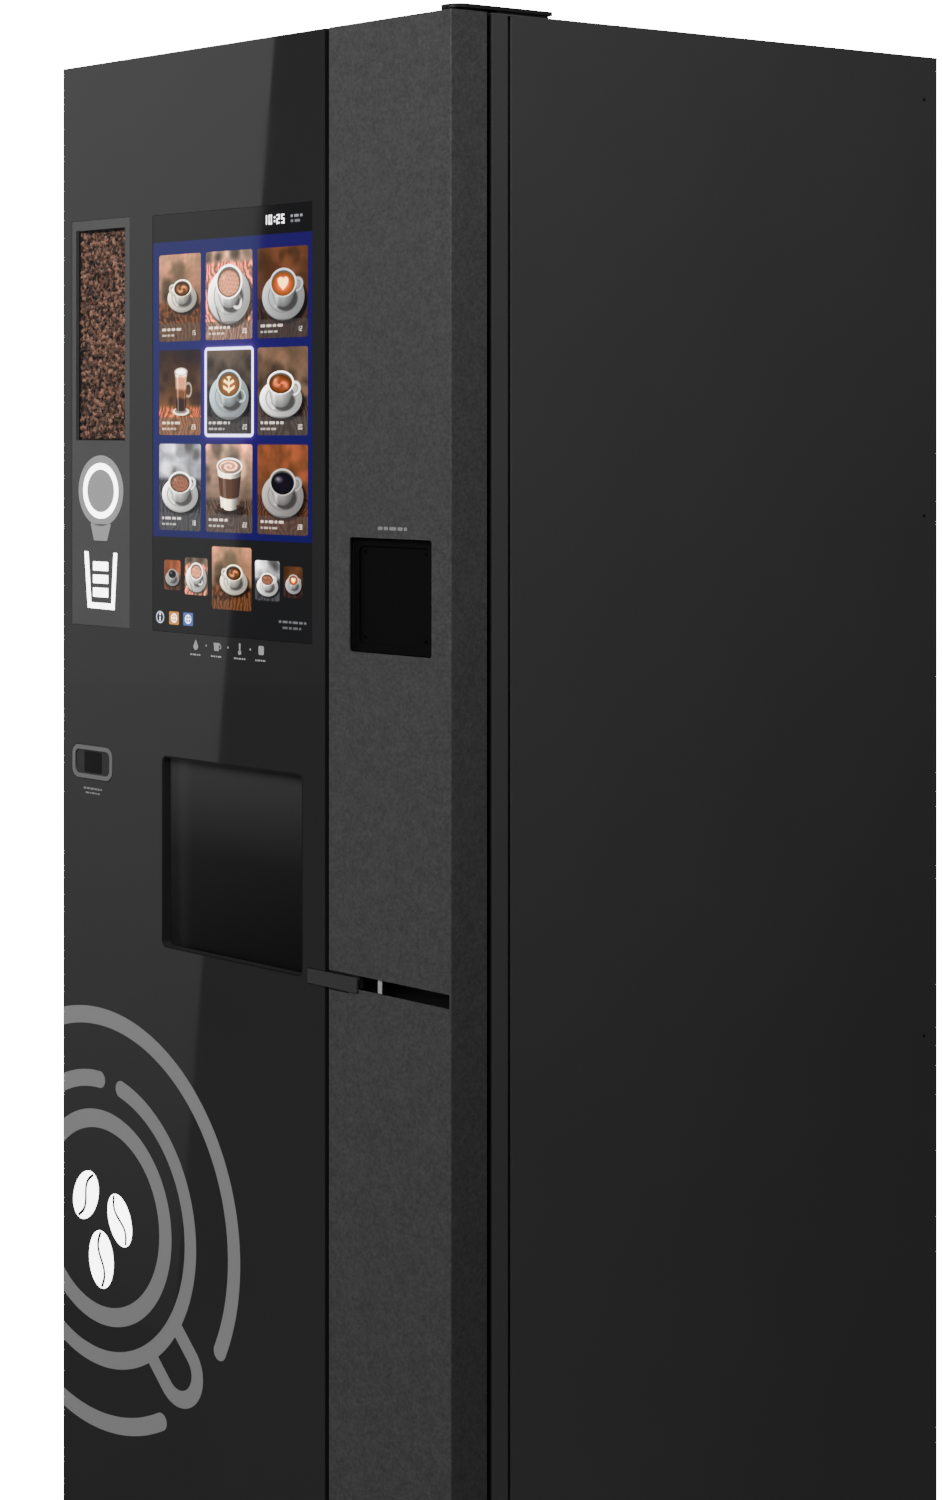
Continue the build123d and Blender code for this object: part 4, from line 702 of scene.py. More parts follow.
        # walls: ellipses growing from foot to rim
        steps = 22
        for k in range(steps + 1):
            f = k / steps
            r_ = (6.4 + 5.2 * f ** 0.55) * s
            zc = cz - 1.6 * s + (9.6 * tall * f) * s
            over(tuple(b * (0.58 + 0.30 * f)), cov(ell_d(cx, zc, r_, r_ * squash)))
        zc = cz + (9.6 * tall - 1.6) * s
        wall = cov(np.maximum(box_d(cx - 11.8 * s, cx + 11.8 * s, cz - 6.5 * s, zc), -ell_d(cx, zc, 11.6 * s, 11.6 * squash * s)))
        inside_cup = cov(ell_d(cx, cz + 1.0 * s, 11.6 * s, 9.4 * s * (0.6 + 0.4 * tall)))
        side = np.clip((W["X"] - cx) / (11.6 * s), -1, 1)
        over(tuple(b * 0.34), wall * inside_cup * np.clip(side - 0.05, 0, 1) * 0.75)
        over((255, 255, 255), wall * inside_cup * np.exp(-((side + 0.52) / 0.16) ** 2) * 0.45)
        over(tuple(np.minimum(b * 1.04, 255)), cov(ell_d(cx, zc, 11.8 * s, 11.8 * squash * s)))
        over(tuple(b * 0.50), cov(ell_d(cx, zc - 0.25 * s, 10.5 * s, 10.5 * squash * s)))
        drink_top(cx, zc - 0.9 * s, 10.1 * s, 10.1 * squash * s * 0.96, drink, foam, art, seed)

    def glass_view(cx, cz, s, layers, foam, seed, hw0=5.0, hw1=7.0, ht=27.0, handle=True):
        """Tall glass with layers. cz: its foot."""
        X, Z = W["X"], W["Z"]
        over((6, 5, 6), cov(ell_d(cx + 2.5 * s, cz - 0.2 * s, 10.5 * s, 3.2 * s), 4) * 0.6)
        over((226, 222, 216), cov(ell_d(cx, cz + 0.4 * s, 11.0 * s, 3.4 * s)))
        over((150, 144, 138), cov(ell_d(cx, cz + 0.9 * s, 8.0 * s, 2.3 * s)))
        f = np.clip((Z - cz) / (ht * s), 0, 1)
        wd = (hw0 + (hw1 - hw0) * f) * s
        bow = 1.7 * s * np.sqrt(np.clip(1 - ((X - cx) / wd) ** 2, 0, 1))
        d = np.maximum(np.abs(X - cx) - wd, np.maximum(cz + 2.2 * s - bow - Z, Z - cz - ht * s))
        a_ = cov(d)
        wv = 0.03 * fbm(0.30, seed, 4)
        lay = np.zeros(W["img"].shape)
        lay[:] = np.array(layers[0]) / 255.0
        for k, (lv, c) in enumerate(layers[1]):
            m = np.clip((f + wv - lv) * 14, 0, 1)
            lay = lay * (1 - m[..., None]) + np.array(c) / 255.0 * m[..., None]
        W["img"][:] = W["img"] * (1 - a_[..., None]) + lay * a_[..., None]
        edge = np.clip((np.abs(X - cx) / wd - 0.72) / 0.28, 0, 1)
        over((18, 12, 10), a_ * edge ** 2 * 0.55)
        over((255, 255, 255), a_ * np.exp(-(((X - cx) / wd + 0.58) / 0.09) ** 2) * 0.55)
        over((255, 255, 255), a_ * np.exp(-(((X - cx) / wd - 0.70) / 0.05) ** 2) * 0.30)
        zc = cz + ht * s
        if handle:
            hd = np.abs(ell_d(cx + hw1 * s + 1.2 * s, cz + ht * 0.55 * s, 4.0 * s, 5.6 * s)) - 0.7 * s
            over((205, 200, 196), cov(np.maximum(hd, cx + hw1 * 0.86 * s - X)) * 0.85)
        over((214, 208, 200), cov(ell_d(cx, zc, hw1 * s * 1.03, hw1 * 0.42 * s)))
        drink_top(cx, zc, hw1 * s * 0.94, hw1 * 0.37 * s, layers[1][-1][1], foam, "foam", seed)

    def paper_view(cx, cz, s, band, drink, foam, art, seed):
        X, Z = W["X"], W["Z"]
        over((6, 5, 6), cov(ell_d(cx + 2.4 * s, cz, 8.6 * s, 3.2 * s), 4) * 0.6)
        f = np.clip((Z - cz) / (21 * s), 0, 1)
        wd = (5.8 + 3.0 * f) * s
        bow = 2.0 * s * np.sqrt(np.clip(1 - ((X - cx) / wd) ** 2, 0, 1))
        d = np.maximum(np.abs(X - cx) - wd, np.maximum(cz + 2.0 * s - bow - Z, Z - cz - 21 * s))
        a_ = cov(d)
        over((232, 228, 220), a_)
        zz = Z + bow * 0.9 - cz
        over(band, a_ * np.clip((4.8 * s - np.abs(zz - 12 * s)) / px + 0.5, 0, 1))
        over(tuple(np.array(band) * 0.7), a_ * (np.sin(X * 3.4 / s) > 0.55) * np.clip((4.8 * s - np.abs(zz - 12 * s)) / px + 0.5, 0, 1) * 0.5)
        q = (X - cx) / wd
        over((12, 8, 8), a_ * np.clip(q - 0.1, 0, 1) * 0.62)
        over((255, 255, 255), a_ * np.exp(-((q + 0.5) / 0.15) ** 2) * 0.25)
        over((244, 242, 236), cov(ell_d(cx, cz + 21 * s, 9.1 * s, 4.0 * s)))
        drink_top(cx, cz + 20.8 * s, 8.2 * s, 3.4 * s, drink, foam, art, seed)

    def table(x0, x1, z1, z0, low_c, top_c, seed, planks=True, horizon=0.46):
        """Backdrop of a small picture: blurred room above a plank table."""
        X, Z = W["X"], W["Z"]
        tt = np.clip((Z - z1) / (z0 - z1), 0, 1)
        bg = (np.array(low_c) * (1 - tt[..., None]) + np.array(top_c) * tt[..., None]) / 255.0
        W["img"][:] = np.clip(bg * (1 + 0.22 * fbm(0.10, seed, 4))[..., None], 0, 1)
        blob_noise(9, seed + 5, 4, 13, x0, x1, z1 + (z0 - z1) * horizon, z0, (tuple(np.array(top_c) * 0.55), tuple(np.minimum(np.array(top_c) * 1.35, 255)), (30, 22, 20)), 0.45, 9.0)
        if planks:
            hz = z1 + (z0 - z1) * horizon
            a_ = np.clip((hz - Z) / 5.0, 0, 1)
            grain = 0.5 + 0.5 * np.sin((X + fbm(0.06, seed + 1, 3) * 16) * 0.9 + fbm(0.3, seed + 2, 4) * 2.6)
            wood = (np.array(low_c)[None, None] * (0.85 + 0.55 * grain[..., None])) / 255.0
            seam = np.clip(1 - np.abs(((X - x0 + (Z - z1) * 0.14) % 21.0) - 10.5) / 0.8, 0, 1)
            wood = wood * (1 - 0.6 * seam[..., None])
            W["img"][:] = W["img"] * (1 - a_[..., None]) + np.clip(wood, 0, 1) * a_[..., None]

    def scatter_beans(x0, x1, z0, z1, n, seed):
        r = np.random.RandomState(seed)
        for _ in range(n):
            bx, bz, t_ = x0 + (x1 - x0) * r.rand(), z0 + (z1 - z0) * r.rand(), r.rand() * 3.1
            over((8, 5, 4), cov(ell_d(bx + 0.5, bz - 0.7, 3.1, 2.1, t_), 2) * 0.6)
            over((74, 42, 24), cov(ell_d(bx, bz, 2.9, 2.0, t_)))
            over((116, 72, 44), cov(ell_d(bx - 0.6, bz + 0.5, 1.3, 0.8, t_), 2) * 0.7)
            over((26, 14, 9), cov(ell_d(bx, bz, 2.7, 0.35, t_)))

    cream, white = (238, 232, 222), (240, 239, 237)

    def scene_(k, x0, x1, z0, z1, q=1.0):
        """Small picture number k inside its tile."""
        cx, h = (x0 + x1) / 2, z0 - z1
        w = x1 - x0
        u = w / 78.0
        if k == 0:
            table(x0, x1, z1, z0, (104, 62, 36), (196, 158, 120), 11)
            scatter_beans(x0 + 3, x1 - 3, z1 + h * 0.24, z1 + h * 0.40, 11, 5)
            cup_view(cx + 4 * u, z1 + h * 0.50, 1.45 * u, cream, (96, 50, 20), (222, 164, 84), "crema", 4, hand=2.7)
        elif k == 1:
            table(x0, x1, z1, z0, (176, 132, 104), (206, 174, 146), 21, horizon=0.9)
            cup_view(cx, z1 + h * 0.50, 1.9 * u, white, (186, 134, 96), (214, 178, 146), "foam", 9, hand=-1.0, squash=0.86)
            over((120, 112, 108), cov(ell_d(cx - 16 * u, z1 + h * 0.26, 1.4 * u, 12 * u, 0.5)) * 0.9)
            over((214, 210, 206), cov(ell_d(cx - 11.5 * u, z1 + h * 0.34, 2.6 * u, 4.2 * u, 0.5)))
        elif k == 2:
            table(x0, x1, z1, z0, (56, 38, 34), (128, 74, 44), 31)
            cup_view(cx + 1 * u, z1 + h * 0.46, 1.75 * u, (206, 206, 208), (214, 118, 40), (250, 226, 180), "heart", 3, hand=0.3, squash=0.74)
        elif k == 3:
            table(x0, x1, z1, z0, (158, 98, 52), (44, 30, 26), 41, horizon=0.36)
            glass_view(cx + 2 * u, z1 + h * 0.27, 1.45 * u, ((60, 30, 16), [(0.30, (138, 84, 46)), (0.52, (206, 168, 128)), (0.84, (240, 232, 220))]), (250, 246, 238), 6, 6.0, 8.2, 34)
        elif k == 4:
            table(x0, x1, z1, z0, (52, 48, 48), (108, 90, 76), 51, horizon=0.6)
            cup_view(cx, z1 + h * 0.45, 1.75 * u, (206, 214, 216), (176, 116, 56), (246, 228, 188), "leaf", 2, hand=-0.5, squash=0.76)
        elif k == 5:
            table(x0, x1, z1, z0, (70, 56, 50), (134, 102, 78), 61)
            cup_view(cx - 3 * u, z1 + h * 0.42, 1.75 * u, white, (150, 74, 30), (216, 146, 86), "crema", 12, hand=0.25, squash=0.6, tall=1.15)
        elif k == 6:
            table(x0, x1, z1, z0, (66, 66, 70), (206, 206, 210), 71, horizon=0.62)
            cup_view(cx, z1 + h * 0.42, 1.8 * u, white, (120, 70, 48), (168, 116, 88), "foam", 13, hand=0.5, squash=0.62)
        elif k == 7:
            table(x0, x1, z1, z0, (86, 66, 56), (208, 176, 148), 81, horizon=0.4)
            paper_view(cx + 1 * u, z1 + h * 0.25, 2.35 * u, (104, 64, 44), (206, 172, 146), (236, 216, 198), "spiral", 8)
            scatter_beans(x0 + 4, x1 - 4, z1 + h * 0.23, z1 + h * 0.30, 6, 15)
        else:
            table(x0, x1, z1, z0, (86, 52, 36), (150, 84, 46), 91)
            scatter_beans(x0 + 3, x1 - 3, z1 + h * 0.24, z1 + h * 0.34, 9, 25)
            cup_view(cx, z1 + h * 0.44, 1.72 * u, (196, 192, 190), (26, 22, 34), (150, 148, 160), "black", 7, hand=0.35, squash=0.7)

    k = 0
    for r, (z0, z1) in enumerate(rows):
        for c, (x0, x1) in enumerate(cols):
            centre = (r == 1 and c == 1)
            if centre:                # chosen tile: soft glow and pale frame
                focus()
                d = box_d(x0 - 2.0, x1 + 2.0, z0 + 2.0, z1 - 2.0, 5.5)
                over((170, 176, 226), np.exp(-np.maximum(d, 0) / 3.2) * (d > -1) * 0.42)
                over((226, 228, 240), cov(d))
            focus(x0 - 2, x1 + 2, z1 - 2, z0 + 2)
            a_ = cov(box_d(x0, x1, z0, z1, 3.0) + (1.6 if centre else 0.0))
            keep = W["img"].copy()
            scene_(k, x0, x1, z0, z1)
            # caption band
            band = cov(box_d(x0, x1, z1, z1 + 20.5))
            over((96, 92, 92), band * 0.42)
            bars(x0 + 5, x0 + 5 + (x1 - x0) * 0.46, z1 + 12.2, 3.0, (238, 236, 232), 0.8, 100 + k)
            bars(x0 + 5, x0 + 5 + (x1 - x0) * 0.34, z1 + 5.8, 2.4, (226, 224, 220), 0.75, 200 + k)
            digits(["15", "20", "12", "25", "20", "30", "18", "22", "28"][k], x1 - 16, z1 + 6.6, 5.4, (235, 233, 230), 0.8)
            new = W["img"].copy()
            W["img"][:] = keep * (1 - a_[..., None]) + new * a_[..., None]
            k += 1

    # lower strip of thumbnails, the middle one larger
    focus()
    over((32, 32, 33), cov(box_d(-153.2, 113.3, -552.7, -661.1)))
    for i, (cx, hw, hh, kk) in enumerate([(-119, 14.5, 17, 8), (-77.5, 19.5, 21, 1), (-17.5, 33, 35, 0), (41.5, 20, 22, 6), (83, 15, 17, 2)]):
        zc = -596
        focus(cx - hw - 2, cx + hw + 2, zc - hh - 2, zc + hh + 2)
        keep = W["img"].copy()
        scene_(kk, cx - hw, cx + hw, zc + hh, zc - hh * 1.18)
        new = W["img"].copy()
        a_ = cov(box_d(cx - hw, cx + hw, zc - hh, zc + hh, 3.0))
        W["img"][:] = keep * (1 - a_[..., None]) + new * a_[..., None]
    focus()
    # round help button and two language tiles
    d = ell_d(-140.5, -645.0, 7.0, 7.0)
    over((205, 208, 214), cov(np.abs(d + 0.8) - 0.8))
    over((225, 228, 232), cov(ell_d(-140.5, -641.6, 1.5, 1.5)))
    over((225, 228, 232), cov(box_d(-141.4, -139.6, -649.6, -644.0, 0.5)))
    for i, xx in enumerate((-116.0, -91.5)):
        over(((196, 150, 60), (92, 128, 176))[i], cov(box_d(xx - 8.5, xx + 8.5, -652.4, -637.6, 1.4)))
        over((248, 248, 248), cov(np.abs(ell_d(xx, -645, 4.6, 4.6)) - 0.55))
        over((248, 248, 248), cov(np.maximum(np.abs(GX - xx) - 0.5, np.abs(GZ + 645) - 4.6)))
        over((248, 248, 248), cov(np.maximum(np.abs(GZ + 645) - 0.5, np.abs(GX - xx) - 4.6)))
    bars(60, 104, -641.0, 2.6, (170, 172, 176), 0.7, 5)
    bars(66, 100, -647.4, 2.6, (170, 172, 176), 0.6, 6)
    # clock
    digits("10:25", 36, -205.5, 10.5, (250, 250, 252))
    bars(79, 98, -199.5, 3.0, (210, 212, 218), 0.75, 9)
    bars(79, 95, -205.0, 3.0, (200, 202, 210), 0.65, 19)
    for i in range(3):
        over((16, 16, 18), cov(box_d(-147, -142, -196 - i * 4.0, -194 - i * 4.0, 0.3)))

    out = shown(whole)
    # the cover glass mirrors a pale card left of a slanted line: leave room for it
    left = np.clip(((0.0297 + 0.123 * (GZ / 1000.0 + TOP - 1.6357)) - GX / 1000.0) / 0.004, 0, 1)
    lift = left * np.interp(GZ / 1000.0 + TOP, [1.16, 1.65], [0.022, 0.036])
    out = np.clip(out - 0.011 - (lift * 0.30)[..., None], 0.0004, None)
    return xs, zs, out


def screen_mesh():
    xs, zs, img = draw_screen()
    nx, nz = len(xs), len(zs)
    me = bpy.data.meshes.new("screen_picture")
    X, Z = np.meshgrid(xs, zs)
    co = np.stack([X.ravel(), np.full(X.size, YF + 0.00030), Z.ravel()], 1).astype(np.float32)
    i = np.arange(nx * nz).reshape(nz, nx)
    quads = np.stack([i[:-1, :-1], i[:-1, 1:], i[1:, 1:], i[1:, :-1]], -1).reshape(-1, 4).astype(np.int32)
    me.vertices.add(len(co))
    me.vertices.foreach_set("co", co.ravel())
    me.loops.add(quads.size)
    me.loops.foreach_set("vertex_index", quads.ravel())
    me.polygons.add(len(quads))
    me.polygons.foreach_set("loop_start", np.arange(0, quads.size, 4, dtype=np.int32))
    me.polygons.foreach_set("loop_total", np.full(len(quads), 4, dtype=np.int32))
    me.update(calc_edges=True)
    at = me.color_attributes.new("picture", "FLOAT_COLOR", "POINT")
    rgba = np.concatenate([np.clip(img, 0, 5).reshape(-1, 3), np.ones((nx * nz, 1))], 1).astype(np.float32)
    at.data.foreach_set("color", rgba.ravel())
    M = Mat("screen_picture")
    vc = M.n("ShaderNodeVertexColor", _layer_name="picture")
    p = M.n("ShaderNodeBsdfPrincipled")
    p.inputs["Base Color"].default_value = (0.004, 0.004, 0.005, 1)
    n2 = M.noise(8, 4, 0.6)
    M.l(M.remap(n2.outputs["Fac"], 0.3, 0.7, 0.03, 0.08), p.inputs["Roughness"])
    M.l(vc.outputs["Color"], p.inputs["Emission Color"])
    p.inputs["Emission Strength"].default_value = 1.0
    M.l(p.outputs[0], M.out.inputs["Surface"])
    return link("screen_picture", me, M.m, "door"), p


screen_obj, screen_p = screen_mesh()


# ------------------------------------------------------------------ printed graphics on the front
def zt(z):
    return TOP + z * MM


def bars_geo(bm, x0, x1, z, h, seed, y0, y1):
    r = random.Random(seed)
    x = x0
    while x < x1 - h:
        w = h * (1.0 + 2.0 * r.random())
        add_plate(bm, rrect(x, min(x + w, x1), z, z + h, h * 0.25, 2), y0, y1)
        x += w + h * 0.6


PY0, PY1 = YF - 0.00012, YF + 0.0008          # raised print on the glass
GY0, GY1 = YF + 0.00005, YF + 0.0012          # raised print on the grey plate

# portafilter mark on the window plate
bm = bmesh.new()
cx, cz = -0.2485, zt(-502.3)
add_plate(bm, arc(cx, cz, 0.0417, 0, 360, 72)[:-1], GY0, GY1)
add_plate(bm, [(-0.2675, zt(-541)), (-0.2612, zt(-561)), (-0.2369, zt(-561)), (-0.2295, zt(-541))], GY0, GY1)
from_bm("mark_filter_body", bm, m_print_grey, "door", bevel=0.0003)
bm = bmesh.new()
add_band(bm, cx, cz, 0.0252, 0.0326, 0, 360, GY0 - 0.0002, GY0 + 0.0002)
from_bm("mark_filter_ring", bm, m_print_white, "door")

# cup mark: outline of a tumbler with three level lines
bm = bmesh.new()
tl, tr, br, bl = (-0.2789, zt(-574.2)), (-0.2181, zt(-574.5)), (-0.2231, zt(-641.2)), (-0.2725, zt(-640.5))
il, ir = (-0.2716, zt(-574.3)), (-0.2246, zt(-574.4))
ibr, ibl = (-0.2288, zt(-634.0)), (-0.2662, zt(-634.0))
add_plate(bm, [tl, bl, ibl, il], GY0, GY1)
add_plate(bm, [bl, br, ibr, ibl], GY0, GY1)
add_plate(bm, [tr, ir, ibr, br], GY0, GY1)
for za, zb in ((-596.1, -585.6), (-611.0, -601.0), (-627.1, -616.3)):
    add_plate(bm, rrect(-0.2626, -0.2347, zt(za), zt(zb), 0.0008, 3), GY0, GY1)
from_bm("mark_cup", bm, m_print_white, "door")

# small marks between screen and pick-up opening
bm = bmesh.new()
zi = zt(-673)
# drop
add_plate(bm, [(-0.0778 + x * MM, zi + z * MM) for x, z in [(0, 6)] + [(4.0 * math.sin(math.radians(t)), -2 + 4.0 * -math.cos(math.radians(t)) * -1 * -1) for t in range(100, -101, -20)]][:12], PY0, PY1)
# cup
add_plate(bm, [(-0.0424 + x * MM, zi + z * MM) for x, z in ((-5, 4), (-3.6, -5), (3.6, -5), (5, 4))], PY0, PY1)
add_band(bm, -0.0374, zi, 0.0018, 0.0030, -90, 90, PY0, PY1, 10)
# thermometer
add_plate(bm, rrect(-0.0047, -0.0023, zi - 0.004, zi + 0.006, 0.0011, 4), PY0, PY1)
add_plate(bm, arc(-0.0035, zi - 0.0045, 0.0026, 0, 360, 18)[:-1], PY0, PY1)
# hand tile
add_plate(bm, rrect(0.0275, 0.0363, zi - 0.005, zi + 0.005, 0.002, 4), PY0, PY1)
for x in (-0.060, -0.023, 0.014):
    add_plate(bm, arc(x, zi, 0.0012, 0, 360, 12)[:-1], PY0, PY1)
for i, x in enumerate((-0.0778, -0.0424, -0.0035, 0.0319)):
    bars_geo(bm, x - 0.0095, x + 0.0095, zt(-685.2), 0.0019, 40 + i, PY0, PY1)
from_bm("mark_row", bm, m_print_grey, "door")

# text-like bars by the scanner and above the reader
bm = bmesh.new()
bars_geo(bm, -0.280, -0.246, zt(-855.0), 0.0024, 61, PY0, PY1)
bars_geo(bm, -0.276, -0.250, zt(-860.0), 0.0020, 62, PY0, PY1)
from_bm("mark_scan_caption", bm, m_print_mid, "door")
bm = bmesh.new()
bars_geo(bm, 0.214, 0.258, zt(-535.5), 0.0036, 63, YF - 0.0001, YF + 0.0004)
from_bm("mark_reader_caption", bm, m_print_mid, "door")

# large cup seen from above: rings, handle and bean motif, cut by the glass's left edge
RX, RZ = -0.2500, zt(-1357.0)
XL = -0.3192
bm = bmesh.new()


def inside(x, z):
    return x > XL - 0.006


def trim_left(b):
    bmesh.ops.bisect_plane(b, geom=b.verts[:] + b.edges[:] + b.faces[:], plane_co=(XL, 0, 0), plane_no=(-1, 0, 0), clear_outer=True)


def add_arc(r_in, r_out, a0, a1, n=160, cx=None, cz=None):
    """Band of a ring with round ends."""
    cx = RX if cx is None else cx
    cz = RZ if cz is None else cz
    add_band(bm, cx, cz, r_in, r_out, a0, a1, PY0, PY1, n, inside)
    rm, hw = (r_in + r_out) / 2, (r_out - r_in) / 2
    for ang, sg in ((a0, -1), (a1, 1)):
        ex, ez = cx + rm * math.cos(math.radians(ang)), cz + rm * math.sin(math.radians(ang))
        if ex - hw > XL:
            add_plate(bm, arc(ex, ez, hw, ang if sg > 0 else ang + 180, ang + 180 if sg > 0 else ang + 360, 16), PY0, PY1)


add_arc(0.2270, 0.2474, -26, 248, 220)
add_arc(0.2270, 0.2474, -108, -62, 60)
add_arc(0.1530, 0.1728, 90, 436, 360)
add_band(bm, RX + 0.0045, RZ + 0.002, 0.1040, 0.1256, 0, 360, PY0, PY1, 220, inside)
# handle: a rounded loop leaving the middle ring at the lower right
bmesh.ops.remove_doubles(bm, verts=bm.verts[:], dist=1e-6)
trim_left(bm)
from_bm("graphic_rings", bm, m_print_mid, "door", sm=False)
bm = bmesh.new()
HD, HN = Vector((0.7071, -0.7071)), Vector((0.7071, 0.7071))
line = [(0.1560, 0.0310)] + [(0.2035 + 0.0310 * math.sin(math.radians(t)), 0.0310 * math.cos(math.radians(t))) for t in range(0, 181, 6)] + [(0.1560, -0.0310)]
hw = 0.0098
ll = []
for k, (u_, v_) in enumerate(line):
    p0, p1 = line[max(k - 1, 0)], line[min(k + 1, len(line) - 1)]
    dx, dz = p1[0] - p0[0], p1[1] - p0[1]
    ln = math.hypot(dx, dz)
    ll.append([(u_ + sg * -dz / ln * hw, v_ + sg * dx / ln * hw) for sg in (1, -1)])
for k in range(len(ll) - 1):
    q = (ll[k][0], ll[k + 1][0], ll[k + 1][1], ll[k][1])
    add_plate(bm, [(RX + HD[0] * u_ + HN[0] * v_, RZ + HD[1] * u_ + HN[1] * v_) for u_, v_ in q], PY0 - 0.00006, PY1 - 0.00006)
bmesh.ops.remove_doubles(bm, verts=bm.verts[:], dist=1e-6)
from_bm("graphic_handle", bm, m_print_mid, "door", sm=False)

bm = bmesh.new()
bmw = bmesh.new()
for (bx, bz, ang, sc) in ((-0.2760, -1335, 62, 1.22), (-0.2130, -1352, 112, 1.18), (-0.2470, -1405, 92, 1.30)):
    c = Vector((bx, zt(bz)))
    R = Matrix.Rotation(math.radians(ang), 2)
    el = []
    for k in range(48):
        a = 2 * math.pi * k / 48
        v = R @ Vector((0.026 * sc * math.cos(a), 0.0175 * sc * math.sin(a)))
        el.append((c[0] + v[0], c[1] + v[1]))
    el = [(max(x, XL), z) for x, z in el]
    add_plate(bmw, el, PY0, PY1)
    prev = None
    for k in range(25):                               # S-shaped crease
        t = -1 + 2 * k / 24
        u = Vector((0.0245 * sc * t, 0.0042 * sc * math.sin(t * math.pi)))
        v = R @ u
        q = (c[0] + v[0], c[1] + v[1])
        if prev:
            dx, dz = q[0] - prev[0], q[1] - prev[1]
            ln = math.hypot(dx, dz)
            wx, wz = -dz / ln * 0.0014 * sc, dx / ln * 0.0014 * sc
            add_plate(bm, [(prev[0] + wx, prev[1] + wz), (q[0] + wx, q[1] + wz), (q[0] - wx, q[1] - wz), (prev[0] - wx, prev[1] - wz)], PY0 - 0.00012, PY0)
        prev = q
from_bm("graphic_beans", bmw, m_print_white, "door")
from_bm("graphic_bean_creases", bm, m_glass, "door")

# scanner: light ring and dark window
bm = bmesh.new()
xa, xb, za, zb = -0.3013, -0.2262, zt(-842.5), zt(-803.0)
o_, i_ = rrect(xa + .0004, xb - .0004, za + .0004, zb - .0004, 0.0115, 8), rrect(xa + .0054, xb - .0054, za + .0054, zb - .0054, 0.0072, 8)
n = len(o_)
for k in range(n):
    q = (o_[k], o_[(k + 1) % n], i_[(k + 1) % n], i_[k])
    add_plate(bm, q, YF - 0.0006, YF + 0.0009)
bmesh.ops.remove_doubles(bm, verts=bm.verts[:], dist=1e-6)
from_bm("scanner_ring", bm, m_ringlight, "door", sm=False)
bm = bmesh.new()
add_plate(bm, rrect(-0.2958, -0.2317, za + .0055, zb - .0055, 0.0068, 8), YF + 0.0010, YF + 0.0022)
from_bm("scanner_window", bm, surface("scan_smoke", (0.046, 0.046, 0.047), rough=0.3, rough_var=0.05), "door")
bm = bmesh.new()
add_plate(bm, rrect(-0.2800, -0.2474, za + .0072, zb - .0072, 0.002, 4), YF + 0.00085, YF + 0.0012)
from_bm("scanner_eye", bm, surface("scan_eye", (0.019, 0.019, 0.0192), rough=0.3, rough_var=0.05, spec=0.15), "door")

# card reader: recessed face plate with a faint contactless mark and a slot
bm = bmesh.new()
add_plate(bm, rrect(0.1808, 0.2828, 1.1740, 1.2762, 0.0055, 6), YF + 0.0090, YF + 0.0121)
from_bm("reader_face", bm, surface("reader_gloss", (0.006, 0.006, 0.0062), rough=0.16, rough_var=0.04, spec=0.08), "door", bevel=0.0006)
bm = bmesh.new()
for r_ in (0.010, 0.017, 0.024):
    add_band(bm, 0.2218, 1.2350, r_, r_ + 0.0022, -38, 38, YF + 0.0088, YF + 0.0091, 24)
from_bm("reader_waves", bm, surface("faint_print", lin(44), rough=0.3, var=0.02), "door")
bm = bmesh.new()
add_box(bm, 0.196, 0.268, YF + 0.0086, YF + 0.0091, 1.1830, 1.1850)
from_bm("reader_slot_light", bm, surface("dim_lamp", lin(30), rough=0.3, emit=(0.1, 0.4, 0.15), emit_strength=0.04), "door")

# bright face on the cover's stop
bm = bmesh.new()
add_box(bm, 0.2118, 0.2178, YF + 0.0016, YF + 0.0040, 0.8074, 0.8220)
from_bm("stop_face", bm, surface("stop_satin", (0.82, 0.82, 0.825), rough=0.3, metal=0.1, grain=0.2, grain_scale=900, grain_dist=0.00004), "door", bevel=0.0006)

# painted shade: thin black strips on the column stand in for the shaded gaps above and below the sliding cover
bm = bmesh.new()
add_plate(bm, rrect(0.1402, 0.1660, 0.81985, 0.82125, 0.0005, 3), YF - 0.00012, YF + 0.0006)
add_plate(bm, rrect(0.1402, 0.1700, 0.80135, 0.80265, 0.0005, 3), YF - 0.00012, YF + 0.0006)
from_bm("cover_gap_shade", bm, m_blackrough, "door", sm=False)

# ------------------------------------------------------------------ coffee beans
M = Mat("roasted_bean")
p = M.n("ShaderNodeBsdfPrincipled")
oi = M.n("ShaderNodeVertexColor", _layer_name="tone")
n1 = M.noise(260, 4, 0.6)
mixc = M.n("ShaderNodeMix", _data_type="RGBA")
mixc.inputs[6].default_value = (0.066, 0.028, 0.019, 1)
mixc.inputs[7].default_value = (0.62, 0.30, 0.20, 1)
mth = M.n("ShaderNodeMath", _operation="MULTIPLY_ADD")
M.l(n1.outputs["Fac"], mth.inputs[0])
mth.inputs[1].default_value = 0.45
sepc = M.n("ShaderNodeSeparateColor")
M.l(oi.outputs["Color"], sepc.inputs[0])
M.l(sepc.outputs[0], mth.inputs[2])
M.l(mth.outputs[0], mixc.inputs[0])
mulc = M.n("ShaderNodeVectorMath", _operation="SCALE")
M.l(mixc.outputs[2], mulc.inputs[0])
nb = M.noise(185, 2.0, 0.5)
# painted shade in the crease (second channel of tone), times a random speckle
cb = M.n("ShaderNodeMath", _operation="MULTIPLY")
M.l(sepc.outputs[1], cb.inputs[0])
M.l(M.remap(nb.outputs["Fac"], 0.36, 0.62, 0.06, 1.62), cb.inputs[1])
M.l(cb.outputs[0], mulc.inputs["Scale"])
M.l(mulc.outputs["Vector"], p.inputs["Base Color"])
M.l(M.remap(n1.outputs["Fac"], 0.3, 0.7, 0.24, 0.42), p.inputs["Roughness"])
bp_ = M.n("ShaderNodeBump")
bp_.inputs["Strength"].default_value = 0.35
